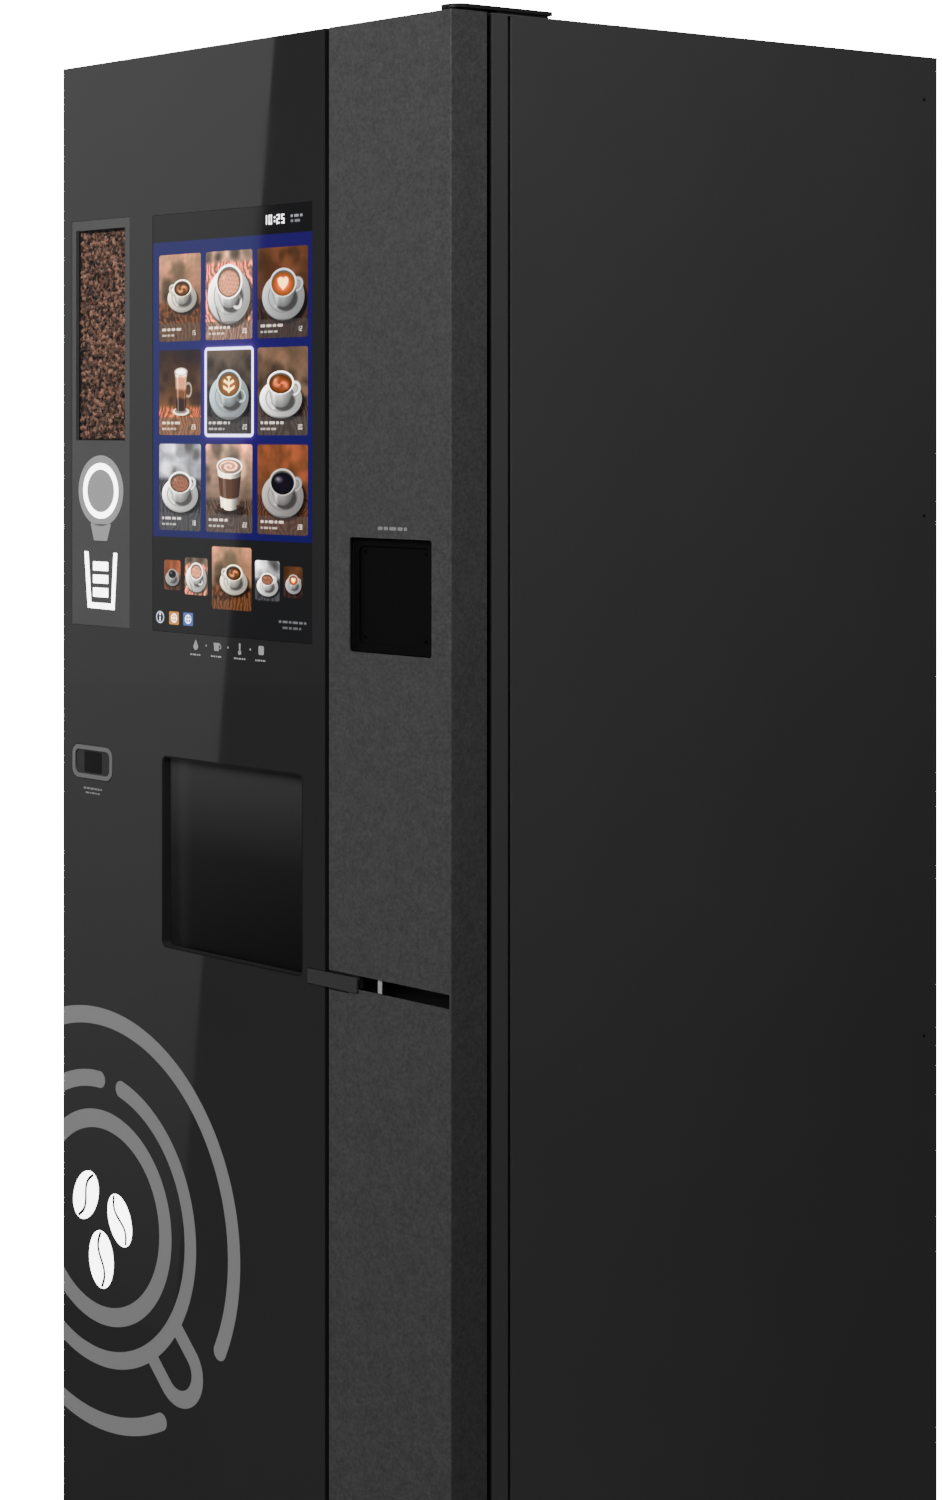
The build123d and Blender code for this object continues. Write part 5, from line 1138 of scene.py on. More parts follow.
bp_.inputs["Distance"].default_value = 0.0003
n3 = M.noise(900, 3, 0.6)
M.l(n3.outputs["Fac"], bp_.inputs["Height"])
M.l(bp_.outputs["Normal"], p.inputs["Normal"])
M.l(p.outputs[0], M.out.inputs["Surface"])
m_bean = M.m


def bean_shape(nu=14, nv=9):
    """Half-round bean, flat side +Y... with a crease; about 9 x 6.6 x 5 mm. Also returns a painted shade factor per
    point, darker in the crease.
    """
    vs, dark = [], []
    for j in range(nv + 1):
        th = math.pi * j / nv
        for i in range(nu):
            ph = 2 * math.pi * i / nu
            x, y, z = math.cos(th), math.sin(th) * math.cos(ph), math.sin(th) * math.sin(ph)
            zz = z * 0.56
            d = 1.0
            if z > 0:
                zz = z * 0.30
                w = y - 0.10 * math.sin(x * 3.0)
                groove = math.exp(-(w / 0.16) ** 2)
                zz -= 0.20 * groove * (1 - x * x) ** 0.5
                # painted shade: the crease is darkened to 0.22 of the bean's colour
                d = 1 - 0.78 * groove
            vs.append((x * 0.0047, y * 0.0034 * (1 - 0.06 * x * x), zz * 0.0046))
            dark.append(d)
    fs = []
    for j in range(nv):
        for i in range(nu):
            a, b = j * nu + i, j * nu + (i + 1) % nu
            fs.append((a, b, b + nu, a + nu))
    return np.array(vs), np.array(dark), np.array(fs)


def bean_mesh(name, places, body, y_min=None, y_max=None):
    """places: list of (position, rotation matrix 3x3, scale, tone)."""
    v0, crease_shade, f0 = bean_shape()
    V, F, C = [], [], []
    off = 0
    for pos, R, s, tone in places:
        vv_ = (v0 * s) @ np.array(R).T + np.array(pos)
        if y_max is not None and vv_[:, 1].max() > y_max:
            vv_[:, 1] -= vv_[:, 1].max() - y_max
        if y_min is not None and vv_[:, 1].min() < y_min:
            vv_[:, 1] += y_min - vv_[:, 1].min()
        V.append(vv_)
        F.append(f0 + off)
        C.append(np.stack([np.full(len(v0), tone), crease_shade, np.zeros(len(v0)), np.ones(len(v0))], 1))
        off += len(v0)
    V, F, C = np.concatenate(V), np.concatenate(F), np.concatenate(C)
    me = bpy.data.meshes.new(name)
    me.from_pydata(V.tolist(), [], F.tolist())
    at = me.color_attributes.new("tone", "FLOAT_COLOR", "POINT")
    at.data.foreach_set("color", C.astype(np.float32).ravel())
    me.shade_smooth()
    return link(name, me, m_bean, body)


places = []
WX0, WX1, WZ0, WZ1 = -0.2935, -0.2049, 1.3885, 1.6335
for layer, (yy, st) in enumerate(((-0.38335, 0.0066), (-0.3823, 0.0062), (-0.3812, 0.0060))):
    z, row = WZ0 + 0.002, 0
    while z < WZ1 - 0.001:
        x = WX0 + 0.002 + (row % 2) * st * 0.5
        while x < WX1 - 0.001:
            tip = Matrix.Rotation(rng.uniform(-0.42, 0.42), 3, "X") @ Matrix.Rotation(rng.uniform(-0.42, 0.42), 3, "Z")
            R = tip @ Matrix.Rotation(rng.uniform(0, 6.28), 3, "Y") @ Matrix.Rotation(math.pi / 2 * rng.choice((1, 1, -1)), 3, "X")
            # painted shade: each layer further back gets a tone 0.12 darker
            places.append(((x + rng.uniform(-1, 1) * 0.0019, yy + rng.uniform(-1, 1) * 0.0009, z + rng.uniform(-1, 1) * 0.0019),
                           [list(r_) for r_ in R], rng.uniform(0.84, 1.06), rng.uniform(-0.15, 0.8) - 0.12 * layer))
            x += st
        z += st * 0.80
        row += 1
places = [(tuple((min(max(q[0], WX0 + 0.0035), WX1 - 0.0035), q[1], min(max(q[2], WZ0 + 0.0035), WZ1 - 0.0035))), R, s_, t_) for q, R, s_, t_ in places]
bean_mesh("beans_display", places, "door", -0.38595, -0.3790)
bm = bmesh.new()
add_box(bm, WX0 - 0.0008, WX1 + 0.0008, -0.3789, -0.3785, WZ0 - 0.0008, WZ1 + 0.0008)
for q in ((WX0 - 0.0008, WX0 - 0.0001, WZ0 - 0.0008, WZ1 + 0.0008), (WX1 + 0.0001, WX1 + 0.0008, WZ0 - 0.0008, WZ1 + 0.0008),
          (WX0 - 0.0001, WX1 + 0.0001, WZ0 - 0.0008, WZ0 - 0.0001), (WX0 - 0.0001, WX1 + 0.0001, WZ1 + 0.0001, WZ1 + 0.0008)):
    add_box(bm, q[0], q[1], -0.3860, -0.3789, q[2], q[3])
from_bm("bean_display_tray", bm, m_blackrough, "door", sm=False)

places = []
# dense layers right behind the hopper's front wall, then coarser ones to close the gaps
BX0, BX1, BZ0, BZ1 = -0.2885, -0.2075, 1.3905, 1.632
for layer, (yy, step) in enumerate(((-0.3708, 0.0078), (-0.3655, 0.0080), (-0.3600, 0.0084))):
    z = BZ0 + (layer % 2) * 0.003
    row = 0
    while z < BZ1:
        x = BX0 + (row % 2) * step * 0.5
        while x < BX1:
            jx, jy, jz = (rng.uniform(-1, 1) * 0.0017 for _ in range(3))
            e = Euler((rng.uniform(0, 6.28), rng.uniform(0, 6.28), rng.uniform(0, 6.28)))
            if rng.random() < 0.55:              # many lie flat against the wall
                e = Euler((math.pi / 2 * rng.choice((1, -1)) + rng.uniform(-0.5, 0.5), rng.uniform(0, 6.28), rng.uniform(-0.4, 0.4)))
                R = (Matrix.Rotation(rng.uniform(-0.5, 0.5), 3, "X") @ Matrix.Rotation(rng.uniform(0, 6.28), 3, "Y") @ Matrix.Rotation(math.pi / 2 * rng.choice((1, 1, -1)), 3, "X"))
            else:
                R = e.to_matrix()
            places.append(((min(max(x + jx, BX0), BX1), yy + jy * 0.8, z + jz), [list(r_) for r_ in R], rng.uniform(0.86, 1.12), rng.uniform(0.0, 0.75)))
            x += step
        z += step * 0.82
        row += 1
bean_mesh("beans_window", places, "cabinet")
# top surface of the heap further back
places = []
for k in range(900):
    x, y = rng.uniform(-0.287, -0.209), rng.uniform(-0.352, -0.068)
    z = 1.632 - (y + 0.372) * 0.10 + rng.uniform(-0.004, 0.004)
    R = Euler((rng.uniform(0, 6.28), rng.uniform(0, 6.28), rng.uniform(0, 6.28))).to_matrix()
    places.append(((x, y, z), [list(r_) for r_ in R], rng.uniform(0.9, 1.1), rng.uniform(0.0, 0.75)))
bean_mesh("beans_heap", places, "cabinet")
bm = bmesh.new()
vs = []
prof = [(-0.3565, 1.395), (-0.3565, 1.628), (-0.066, 1.598), (-0.066, 1.490), (-0.124, 1.382), (-0.186, 1.382)]
f = [bm.verts.new((-0.2885, y, z)) for y, z in prof]
b = [bm.verts.new((-0.2075, y, z)) for y, z in prof]
bm.faces.new(f)
bm.faces.new(list(reversed(b)))
for k in range(len(prof)):
    bm.faces.new((f[k], b[k], b[(k + 1) % len(prof)], f[(k + 1) % len(prof)]))
from_bm("beans_core", bm, surface("bean_mass", (0.035, 0.014, 0.006), rough=0.5, grain=1.0, grain_scale=130, grain_dist=0.004, var=0.4, var_scale=160), "cabinet", sm=False)



# ------------------------------------------------------------------ inside: hoses, cables, contents
def V3(*mm):
    return tuple(c / 1000.0 for c in mm)


m_hose = surface("silicone_hose", (0.62, 0.60, 0.55), rough=0.42, grain=0.15, grain_scale=500, grain_dist=0.00004, var=0.05, var_scale=30)
m_hose_blue = surface("cold_hose", (0.07, 0.17, 0.42), rough=0.4, grain=0.15, grain_scale=500, grain_dist=0.00004, var=0.05, var_scale=30)
m_hose_grey = surface("drain_hose", (0.16, 0.165, 0.17), rough=0.55, grain=0.3, grain_scale=500, grain_dist=0.00005, var=0.06, var_scale=30)
m_loom = surface("loom_black", (0.012, 0.012, 0.012), rough=0.6, grain=0.6, grain_scale=260, grain_dist=0.0003, var=0.1, var_scale=40)
m_wire = {
    "red": surface("wire_red", (0.42, 0.02, 0.015), rough=0.4, grain=0.1),
    "blue": surface("wire_blue", (0.02, 0.06, 0.38), rough=0.4, grain=0.1),
    "yellow": surface("wire_yellow", (0.55, 0.38, 0.02), rough=0.4, grain=0.1),
    "white": surface("wire_white", (0.62, 0.62, 0.6), rough=0.4, grain=0.1),
}
m_pcb = surface("circuit_board", (0.012, 0.11, 0.045), rough=0.35, grain=0.35, grain_scale=330, grain_dist=0.00004, var=0.2, var_scale=90)
m_chip = surface("chip_black", (0.01, 0.01, 0.011), rough=0.5, grain=0.2, grain_scale=900)
m_term = surface("terminal_green", (0.02, 0.22, 0.07), rough=0.45, grain=0.15)
m_milk = surface("powder_milk", (0.80, 0.74, 0.60), rough=0.9, grain=1.0, grain_scale=700, grain_dist=0.0008, var=0.07, var_scale=60)
m_choc = surface("powder_cocoa", (0.17, 0.075, 0.032), rough=0.9, grain=1.0, grain_scale=700, grain_dist=0.0008, var=0.12, var_scale=60)
m_band_a = surface("band_blue", (0.05, 0.12, 0.36), rough=0.45, grain=0.1)
m_band_b = surface("band_brown", (0.25, 0.11, 0.05), rough=0.45, grain=0.1)
m_water = clear("water", (0.86, 0.95, 0.98), 0.02, 0.6, 1.33)
m_led = glow("station_led", (1.0, 0.96, 0.9), 1.6)


def clamp(bm, at, nxt, r):
    """Hose clip: a band with a small ear, a little way along the hose."""
    a = Vector(at)
    d = (Vector(nxt) - a).normalized()
    c = a + d * 0.004
    add_lathe(bm, c, [(r + 0.0001, 0.0), (r + 0.0011, 0.0003), (r + 0.0011, 0.0051), (r + 0.0001, 0.0054)], 28, d, close=True)
    u = d.orthogonal().normalized()
    add_cyl(bm, c + u * (r + 0.0004) + d * 0.0027, 0.0016, 0.0016, 0.0042, u, 12)


def hose(name, pts, r, mat, body="cabinet", clips=True):
    pts = [V3(*q) for q in pts]
    tube(name, pts, r / 1000.0, mat, body)
    if clips:
        bm = bmesh.new()
        clamp(bm, pts[0], pts[1], r / 1000.0)
        clamp(bm, pts[-1], pts[-2], r / 1000.0)
        from_bm(name + "_clips", bm, m_steel, body)


# cold water: mains connection to a valve, then to the pump's suction tee
hose("hose_mains", [(-212, 322, 190), (-212, 306, 194), (-206, 300, 236), (-176, 316, 330), (-120, 322, 392), (-72, 322, 398)], 9.6, m_hose_blue)
bm = bmesh.new()
add_box(bm, *[c / 1000 for c in (-72, -34, 308, 336, 384, 412)])
add_cyl(bm, V3(-53, 322, 412), 0.015, 0.015, 0.034, (0, 0, 1), 28)
add_cyl(bm, V3(-53, 322, 446), 0.006, 0.005, 0.008, (0, 0, 1), 18)
add_cyl(bm, V3(-34, 322, 398), 0.006, 0.006, 0.016, (1, 0, 0), 20)
add_box(bm, *[c / 1000 for c in (-64, -42, 336, 384.5, 380, 384)])
from_bm("inlet_valve", bm, m_brass, "cabinet", bevel=0.0008)
bm = bmesh.new()
add_lathe(bm, V3(-53, 322, 414), [(0.0152, 0), (0.019, 0.001), (0.019, 0.027), (0.0152, 0.028)], 32, (0, 0, 1), close=True)
from_bm("inlet_valve_coil", bm, m_black, "cabinet")
hose("hose_valve_to_pump", [(-20, 322, 398), (20, 322, 398), (78, 300, 372), (118, 244, 300), (128, 196, 232), (128, 184, 226)], 7.0, m_hose_blue)
bm = bmesh.new()
add_cyl(bm, V3(128, 172, 200), 0.0062, 0.0062, 0.052, (0, 0, 1), 24)
add_cyl(bm, V3(128, 172, 226), 0.0058, 0.0058, 0.016, (0, 1, 0), 24)
for z_ in (203, 249):
    add_lathe(bm, V3(128, 172, z_), [(0.006, -0.002), (0.0075, -0.001), (0.0075, 0.001), (0.006, 0.002)], 24, (0, 0, 1), close=True)
from_bm("suction_tee", bm, m_brass, "cabinet")
hose("hose_tee_to_pump", [(128, 172, 206), (128, 172, 190), (128, 172, 154)], 7.4, m_hose_blue)
hose("hose_bottle", [(152, -150, 500), (152, -150, 540), (150, -110, 590), (146, -20, 600), (140, 60, 520), (132, 130, 380), (128, 172, 290), (128, 172, 246)], 7.2, m_hose_blue)
bm = bmesh.new()
add_cyl(bm, V3(152, -150, 82), 0.0045, 0.0045, 0.424, (0, 0, 1), 22)
add_lathe(bm, V3(152, -150, 481.3), [(0.0046, 0.0), (0.011, 0.0), (0.011, 0.004), (0.0078, 0.006), (0.0078, 0.016), (0.0046, 0.016)], 28, (0, 0, 1), close=True)
from_bm("bottle_dip_tube", bm, m_white, "cabinet")
hose("hose_pump_to_boiler", [(150, 172, 158), (150, 176, 190), (154, 250, 330), (158, 340, 470), (158, 364, 640), (158, 366, 770), (150, 352, 842), (96, 300, 826), (24, 240, 787), (-34, 221, 781), (-50, 220, 790), (-50, 220, 803)], 8.2, m_hose)
# hot water: boiler to bowls and brewer
for cx_, fx in ((43, -14), (-135, -86)):
    hose("hose_hot_to_bowl_%d" % (1 if cx_ < 0 else 2),
         [(fx, 220, 1116), (fx, 220, 1150), (fx + (cx_ - fx) * 0.25, 170, 1200), (fx + (cx_ - fx) * 0.7, 20, 1226), (cx_ + 30, -120, 1236), (cx_ + 31, -186, 1240), (cx_ + 24, -220, 1239), (cx_ + 18, -235, 1226), (cx_ + 17, -238, 1210)],
         4.6, m_hose, clips=False)
    bm = bmesh.new()
    add_lathe(bm, V3(fx, 220, 1112), [(0.0046, 0.0), (0.0078, 0.0), (0.0078, 0.012), (0.0058, 0.016), (0.0046, 0.016)], 28, (0, 0, 1), close=True)
    from_bm("boiler_sleeve_%d" % (1 if cx_ < 0 else 2), bm, m_brass, "cabinet")
hose("hose_hot_to_brewer", [(-50, 220, 1122), (-50, 217, 1156), (-72, 170, 1178), (-118, 70, 1136), (-158, -20, 1090), (-178, -90, 1076), (-192, -128, 1072), (-206.5, -132, 1072)], 6.4, m_hose, clips=False)
bm = bmesh.new()
add_lathe(bm, V3(-206.4, -132, 1072), [(0.0, 0.0), (0.011, 0.0), (0.011, 0.004), (0.0085, 0.0065), (0.0085, 0.0145), (0.0064, 0.0145)], 28, (1, 0, 0))
add_lathe(bm, V3(-50, 220, 1116), [(0.0091, 0.0), (0.0112, 0.0), (0.0112, 0.014), (0.0066, 0.0185), (0.0064, 0.0185)], 28, (0, 0, 1))
from_bm("hot_fittings", bm, m_brass, "cabinet")
# mixed drinks and coffee to the dispensing head
hose("hose_bowl_1_to_head", [(-135, -252, 1134), (-135, -252, 1112), (-118, -251, 1090), (-84, -249, 1082), (-52, -248, 1086), (-35, -247, 1078), (-31.1, -247, 1064), (-31.1, -247, 1050)], 8.3, m_hose)
hose("hose_bowl_2_to_head", [(43, -252, 1134), (43, -252, 1110), (30, -250, 1090), (10, -248, 1084), (-3, -247, 1074), (-6.9, -247, 1062), (-6.9, -247, 1050)], 8.3, m_hose)
hose("hose_coffee_to_head", [(-248, -232, 942), (-248, -232, 918), (-232, -232, 896), (-196, -232, 894), (-168, -230, 930), (-152, -222, 1010), (-128, -216, 1078), (-84, -216, 1104), (-40, -221, 1098), (-21, -226, 1080), (-19, -226, 1066), (-19, -226, 1050)], 7.6, m_hose)
# tray drain
hose("hose_drain", [(60, -185, 760), (60, -185, 725), (50, -183, 640), (14, -178, 520), (-22, -172, 410), (-34, -170, 350), (-36, -170, 318)], 8.8, m_hose_grey, clips=False)
bm = bmesh.new()
clamp(bm, V3(60, -185, 757), V3(60, -185, 740), 0.0088)
from_bm("hose_drain_clip", bm, m_steel, "cabinet")

# cable looms up the back, with branches
tube("loom_main", [V3(*q) for q in ((-70, 284, 92), (-70, 312, 110), (-86, 344, 300), (-96, 366, 520), (-96, 368, 780), (-98, 364, 1000), (-98, 366, 1200), (-96, 368, 1300), (-20, 366, 1470), (70, 370, 1560), (121, 372, 1582))], 0.006, m_loom, "cabinet")
tube("loom_auger_1", [V3(*q) for q in ((-97, 367, 1262), (-110, 344, 1330), (-130, 260, 1350), (-135, 150, 1322), (-135, 93, 1297))], 0.0038, m_loom, "cabinet")
tube("loom_auger_2", [V3(*q) for q in ((-88, 367, 1318), (-40, 344, 1352), (20, 260, 1350), (43, 150, 1322), (43, 93, 1297))], 0.0038, m_loom, "cabinet")
tube("loom_boiler", [V3(*q) for q in ((-98, 364, 1040), (-92, 340, 1090), (-78, 300, 1126), (-66, 262, 1120), (-62, 258, 1104))], 0.0034, m_loom, "cabinet")
tube("loom_pump", [V3(*q) for q in ((-70, 286, 84), (-40, 314, 76), (60, 322, 72), (136, 312, 84), (150, 300, 100), (150, 286, 112))], 0.0038, m_loom, "cabinet")
tube("loom_left", [V3(*q) for q in ((-98, 364, 1060), (-180, 352, 1090), (-272, 300, 1100), (-286, 120, 1110), (-288, 0, 1120), (-288, -36, 1130))], 0.0038, m_loom, "cabinet")
tube("loom_door", [V3(*q) for q in ((-60, 286, 84), (20, 330, 74), (150, 334, 74), (262, 336, 90), (284, 356, 160), (286, 368, 520), (286, 368, 1000), (286, 366, 1560), (285, 300, 1700), (285, 60, 1750), (285, -200, 1760), (286, -296, 1750))], 0.0048, m_loom, "cabinet")
bm = bmesh.new()
add_box(bm, *[c / 1000 for c in (272, 299, -316, -290, 1728, 1772)])
for z_ in (1738, 1750, 1762):
    add_box(bm, *[c / 1000 for c in (276, 295, -319, -315.5, z_ - 3.5, z_ + 3.5)])
from_bm("door_connector", bm, m_white, "cabinet", bevel=0.0006)
# cable ties along the main run
bm = bmesh.new()
for q, d in (((-96, 366.5, 560), (0, 0.005, 1)), ((-96, 368, 700), (0, 0, 1)), ((-97, 366, 880), (0, 0, 1)), ((-98, 365, 1120), (0, 0, 1)), ((286, 368, 420), (0, 0, 1)), ((286, 368, 760), (0, 0, 1)), ((286, 367, 1240), (0, 0, 1))):
    r_ = 0.006 if q[0] < 0 else 0.0048
    add_lathe(bm, V3(*q), [(r_ + 0.0001, -0.0014), (r_ + 0.0009, -0.0012), (r_ + 0.0009, 0.0012), (r_ + 0.0001, 0.0014)], 24, d, close=True)
    add_box(bm, q[0] / 1000 + r_ - 0.0006, q[0] / 1000 + r_ + 0.0028, q[1] / 1000 - 0.0022, q[1] / 1000 + 0.0022, q[2] / 1000 - 0.0018, q[2] / 1000 + 0.0018)
from_bm("cable_ties", bm, m_white, "cabinet")

# control board: green face, chips, terminals and loose wires
bm = bmesh.new()
add_box(bm, *[c / 1000 for c in (-109.6, -30.4, 130.4, 289.6, 74.0, 74.7)])
from_bm("control_board_face", bm, m_pcb, "cabinet", sm=False)
bm = bmesh.new()
for (x_, y_, w_, l_, h_) in ((-66, 250, 16, 16, 2.2), (-62, 272, 10, 8, 1.8), (-100, 200, 9, 12, 2), (-72, 160, 7, 14, 2.2), (-72, 190, 7, 10, 2), (-50, 262, 6, 10, 1.6), (-104, 152, 6, 6, 1.4), (-70, 222, 6, 6, 1.4)):
    add_box(bm, *[c / 1000 for c in (x_ - w_ / 2, x_ + w_ / 2, y_ - l_ / 2, y_ + l_ / 2, 74.7, 74.7 + h_)])
for i in range(16):
    add_box(bm, *[c / 1000 for c in (-72.8 + i * 0.95, -72.3 + i * 0.95, 240.4, 242.2, 74.7, 75.4)])
    add_box(bm, *[c / 1000 for c in (-72.8 + i * 0.95, -72.3 + i * 0.95, 257.8, 259.6, 74.7, 75.4)])
from_bm("control_board_chips", bm, m_chip, "cabinet", bevel=0.0002)
bm = bmesh.new()
for y_ in range(6):
    add_box(bm, *[c / 1000 for c in (-38.8, -31.2, 236 + y_ * 8.4, 243.6 + y_ * 8.4, 74.7, 84.5)])
    add_cyl(bm, V3(-35, 239.8 + y_ * 8.4, 84.5), 0.0022, 0.002, 0.0006, (0, 0, 1), 14)
from_bm("control_board_terminals", bm, m_term, "cabinet", bevel=0.0003)
for i, col in enumerate(("red", "blue", "yellow", "white", "red", "blue")):
    y_ = 239.8 + i * 8.4
    tube("board_wire_%d" % i, [V3(-31.2, y_, 79), V3(-24, y_ + 2, 80 + i), V3(-26, 292 + i, 88 + i * 1.5), V3(-48 - i * 2, 306, 96 + i), V3(-70, 309, 106)], 0.0011, m_wire[col], "cabinet", res=6)
for i, col in enumerate(("red", "blue", "yellow")):
    tube("mains_wire_%d" % i, [V3(-150 + i * 7, 331, 190), V3(-150 + i * 7, 322, 190), V3(-158 + i * 5, 312, 196), V3(-176 + i * 4, 300, 180), V3(-182 + i * 5, 291, 172)], 0.0016, m_wire[col], "cabinet", res=6)

# powder in the canisters, heaped with an uneven top, sitting above the augers
for n_, cx_, top_, mt in ((1, -0.135, 1.488, m_milk), (2, 0.043, 1.452, m_choc)):
    bm = bmesh.new()
    ny, nx_ = 40, 16
    def hw(z):
        return (0.019 + min(max(z - 1.294, 0), 0.067) * 38.0 / 67.0) - 0.0006
    rows = []
    for j in range(ny + 1):
        y_ = -0.2744 + 0.2908 * j / ny
        row = []
        for z_ in (1.3135, 1.336, 1.361):
            row.append(bm.verts.new((cx_ - hw(z_), y_, z_)))
        for i in range(nx_ + 1):
            x_ = cx_ - hw(1.4) + 2 * hw(1.4) * i / nx_
            z_ = top_ + 0.006 * math.sin(9 * i / nx_ + j * 0.35) + 0.008 * math.sin(j * 0.21 + n_) - 0.012 * ((i / nx_ - 0.5) ** 2) * 4 + 0.0012 * math.sin(i * 7.3 + j * 5.1)
            row.append(bm.verts.new((x_, y_, z_)))
        for z_ in (1.361, 1.336, 1.3135):
            row.append(bm.verts.new((cx_ + hw(z_), y_, z_)))
        rows.append(row)
    for a_, b_ in zip(rows[:-1], rows[1:]):
        for k in range(len(a_)):
            k2 = (k + 1) % len(a_)
            bm.faces.new((a_[k], a_[k2], b_[k2], b_[k]))
    bm.faces.new(rows[0])
    bm.faces.new(list(reversed(rows[-1])))
    from_bm("powder_%d" % n_, bm, mt, "cabinet")
    # blank coloured band and a grip strip on the front
    bm = bmesh.new()
    add_plate(bm, rrect(cx_ - 0.048, cx_ + 0.048, 1.405, 1.468, 0.004), -0.27875, -0.27815)
    from_bm("canister_band_%d" % n_, bm, m_band_a if n_ == 1 else m_band_b, "cabinet", sm=False)
    bm = bmesh.new()
    add_plate(bm, rrect(cx_ - 0.040, cx_ + 0.040, 1.5675, 1.5705, 0.001), -0.2660, -0.2622)
    from_bm("canister_grip_%d" % n_, bm, m_black, "cabinet", bevel=0.0004)

# water left in the bottle
bm = bmesh.new()
add_lathe(bm, V3(152, -150, 0), [(0.0, 0.0635), (0.1165, 0.0635), (0.1275, 0.0745), (0.1275, 0.199), (0.1236, 0.205), (0.1236, 0.223), (0.1275, 0.229), (0.1275, 0.312), (0.0046, 0.312), (0.0046, 0.3119)], 72)
from_bm("bottle_water", bm, m_water, "cabinet")


# paper cups: nested stacks in the turret, one cup hanging in the arm
def cup_profile(z0, h, rb=0.0250, rt=0.0358, lip=0.0366):
    return [(0.0, z0 + 0.004), (rb - 0.0012, z0 + 0.004), (rb - 0.0008, z0), (rb, z0), (rt, z0 + h - 0.0032), (lip - 0.0002, z0 + h - 0.003), (lip, z0 + h - 0.0016), (lip - 0.0003, z0 + h - 0.0002),
            (rt - 0.0002, z0 + h), (rt - 0.0009, z0 + h - 0.002), (rb - 0.0006, z0 + 0.006), (0.0, z0 + 0.006)]


for i in range(3):
    a = math.pi + i * 2 * math.pi / 3
    cx_, cy_ = 0.205 + 0.044 * math.cos(a), -0.205 + 0.044 * math.sin(a)
    count = (62, 48, 55)[i]
    prof = [(0.0, 0.970), (0.0238, 0.970), (0.0242, 0.966), (0.025, 0.966)]
    for k in range(count):
        zr = 0.966 + 0.086 + k * 0.0068
        prof += [(0.0357 if k == 0 else 0.0352, zr - 0.0033), (0.0364, zr - 0.003), (0.0366, zr - 0.0016), (0.0363, zr - 0.0002), (0.0356, zr)]
    zt_ = 0.966 + 0.086 + (count - 1) * 0.0068
    prof += [(0.0349, zt_ - 0.002), (0.0244, zt_ - 0.080), (0.0, zt_ - 0.080)]
    bm = bmesh.new()
    add_lathe(bm, (cx_, cy_, 0), prof, 56)
    from_bm("cup_stack_%d" % (i + 1), bm, m_cup, "turret")
bm = bmesh.new()
add_lathe(bm, (0.161, -0.205, 0), cup_profile(0.829, 0.086), 64)
add_lathe(bm, (0.161, -0.205, 0), [(0.0284, 0.8547), (0.0325, 0.8870), (0.0327, 0.8870), (0.0286, 0.8547)], 64, close=True)
from_bm("served_cup", bm, m_cup, "arm")

# strip light under the station roof and the wiring on the inside of the door
bm = bmesh.new()
add_box(bm, *[c / 1000 for c in (-106, 96, -288, -281, 1031.6, 1036.8)])
from_bm("station_light_base", bm, m_alu, "cabinet", bevel=0.0004)
bm = bmesh.new()
for i in range(16):
    add_box(bm, *[c / 1000 for c in (-100 + i * 12.4, -95 + i * 12.4, -286.5, -282.5, 1030.6, 1031.6)])
from_bm("station_light_leds", bm, m_led, "cabinet", sm=False)
tube("door_loom_reader", [V3(*q) for q in ((0, -352, 1190), (4, -352, 1168), (70, -352, 1152), (150, -352, 1150), (214, -352, 1166), (232, -348, 1194))], 0.0035, m_loom, "door")
tube("door_loom_scanner", [V3(*q) for q in ((-16, -352, 1190), (-20, -352, 1166), (-90, -352, 1148), (-190, -352, 1120), (-244, -352, 1070), (-262, -350, 1022))], 0.0035, m_loom, "door")
tube("door_loom_flap", [V3(*q) for q in ((-170, -352, 1126), (-206, -350, 1060), (-214, -348, 940), (-206, -347, 860), (-171, -347, 836))], 0.003, m_loom, "door")
tube("door_loom_hinge", [V3(*q) for q in ((59, -347, 1420), (110, -352, 1440), (190, -352, 1560), (250, -352, 1690), (272, -350, 1756))], 0.0048, m_loom, "door")
bm = bmesh.new()
add_box(bm, *[c / 1000 for c in (258, 288, -360, -344, 1748, 1780)])
for z_ in (1756, 1764, 1772):
    add_box(bm, *[c / 1000 for c in (262, 284, -344.5, -342, z_ - 2.6, z_ + 2.6)])
from_bm("door_plug", bm, m_white, "door", bevel=0.0006)
bm = bmesh.new()
add_box(bm, *[c / 1000 for c in (-92, 52, -340.0, -339.2, 1296, 1300)])
for x_ in (-92, 44):
    add_box(bm, *[c / 1000 for c in (x_, x_ + 8, -342.4, -339.2, 1290, 1296)])
from_bm("display_bracket", bm, m_zinc, "door", bevel=0.0003)

# blank rating plate and an earth stud on the back
bm = bmesh.new()
add_plate(bm, rrect(-0.050, 0.060, 0.160, 0.235, 0.003), 0.38805, 0.3887)
from_bm("blank_plate", bm, m_light, "cabinet", sm=False)
bm = bmesh.new()
add_cyl(bm, V3(-120, 352.05, 130), 0.0055, 0.0055, 0.0022, (0, 1, 0), 6)
add_cyl(bm, V3(-120, 352.05, 130), 0.0028, 0.0026, 0.010, (0, 1, 0), 18)
from_bm("earth_stud", bm, m_brass, "cabinet", bevel=0.0002)

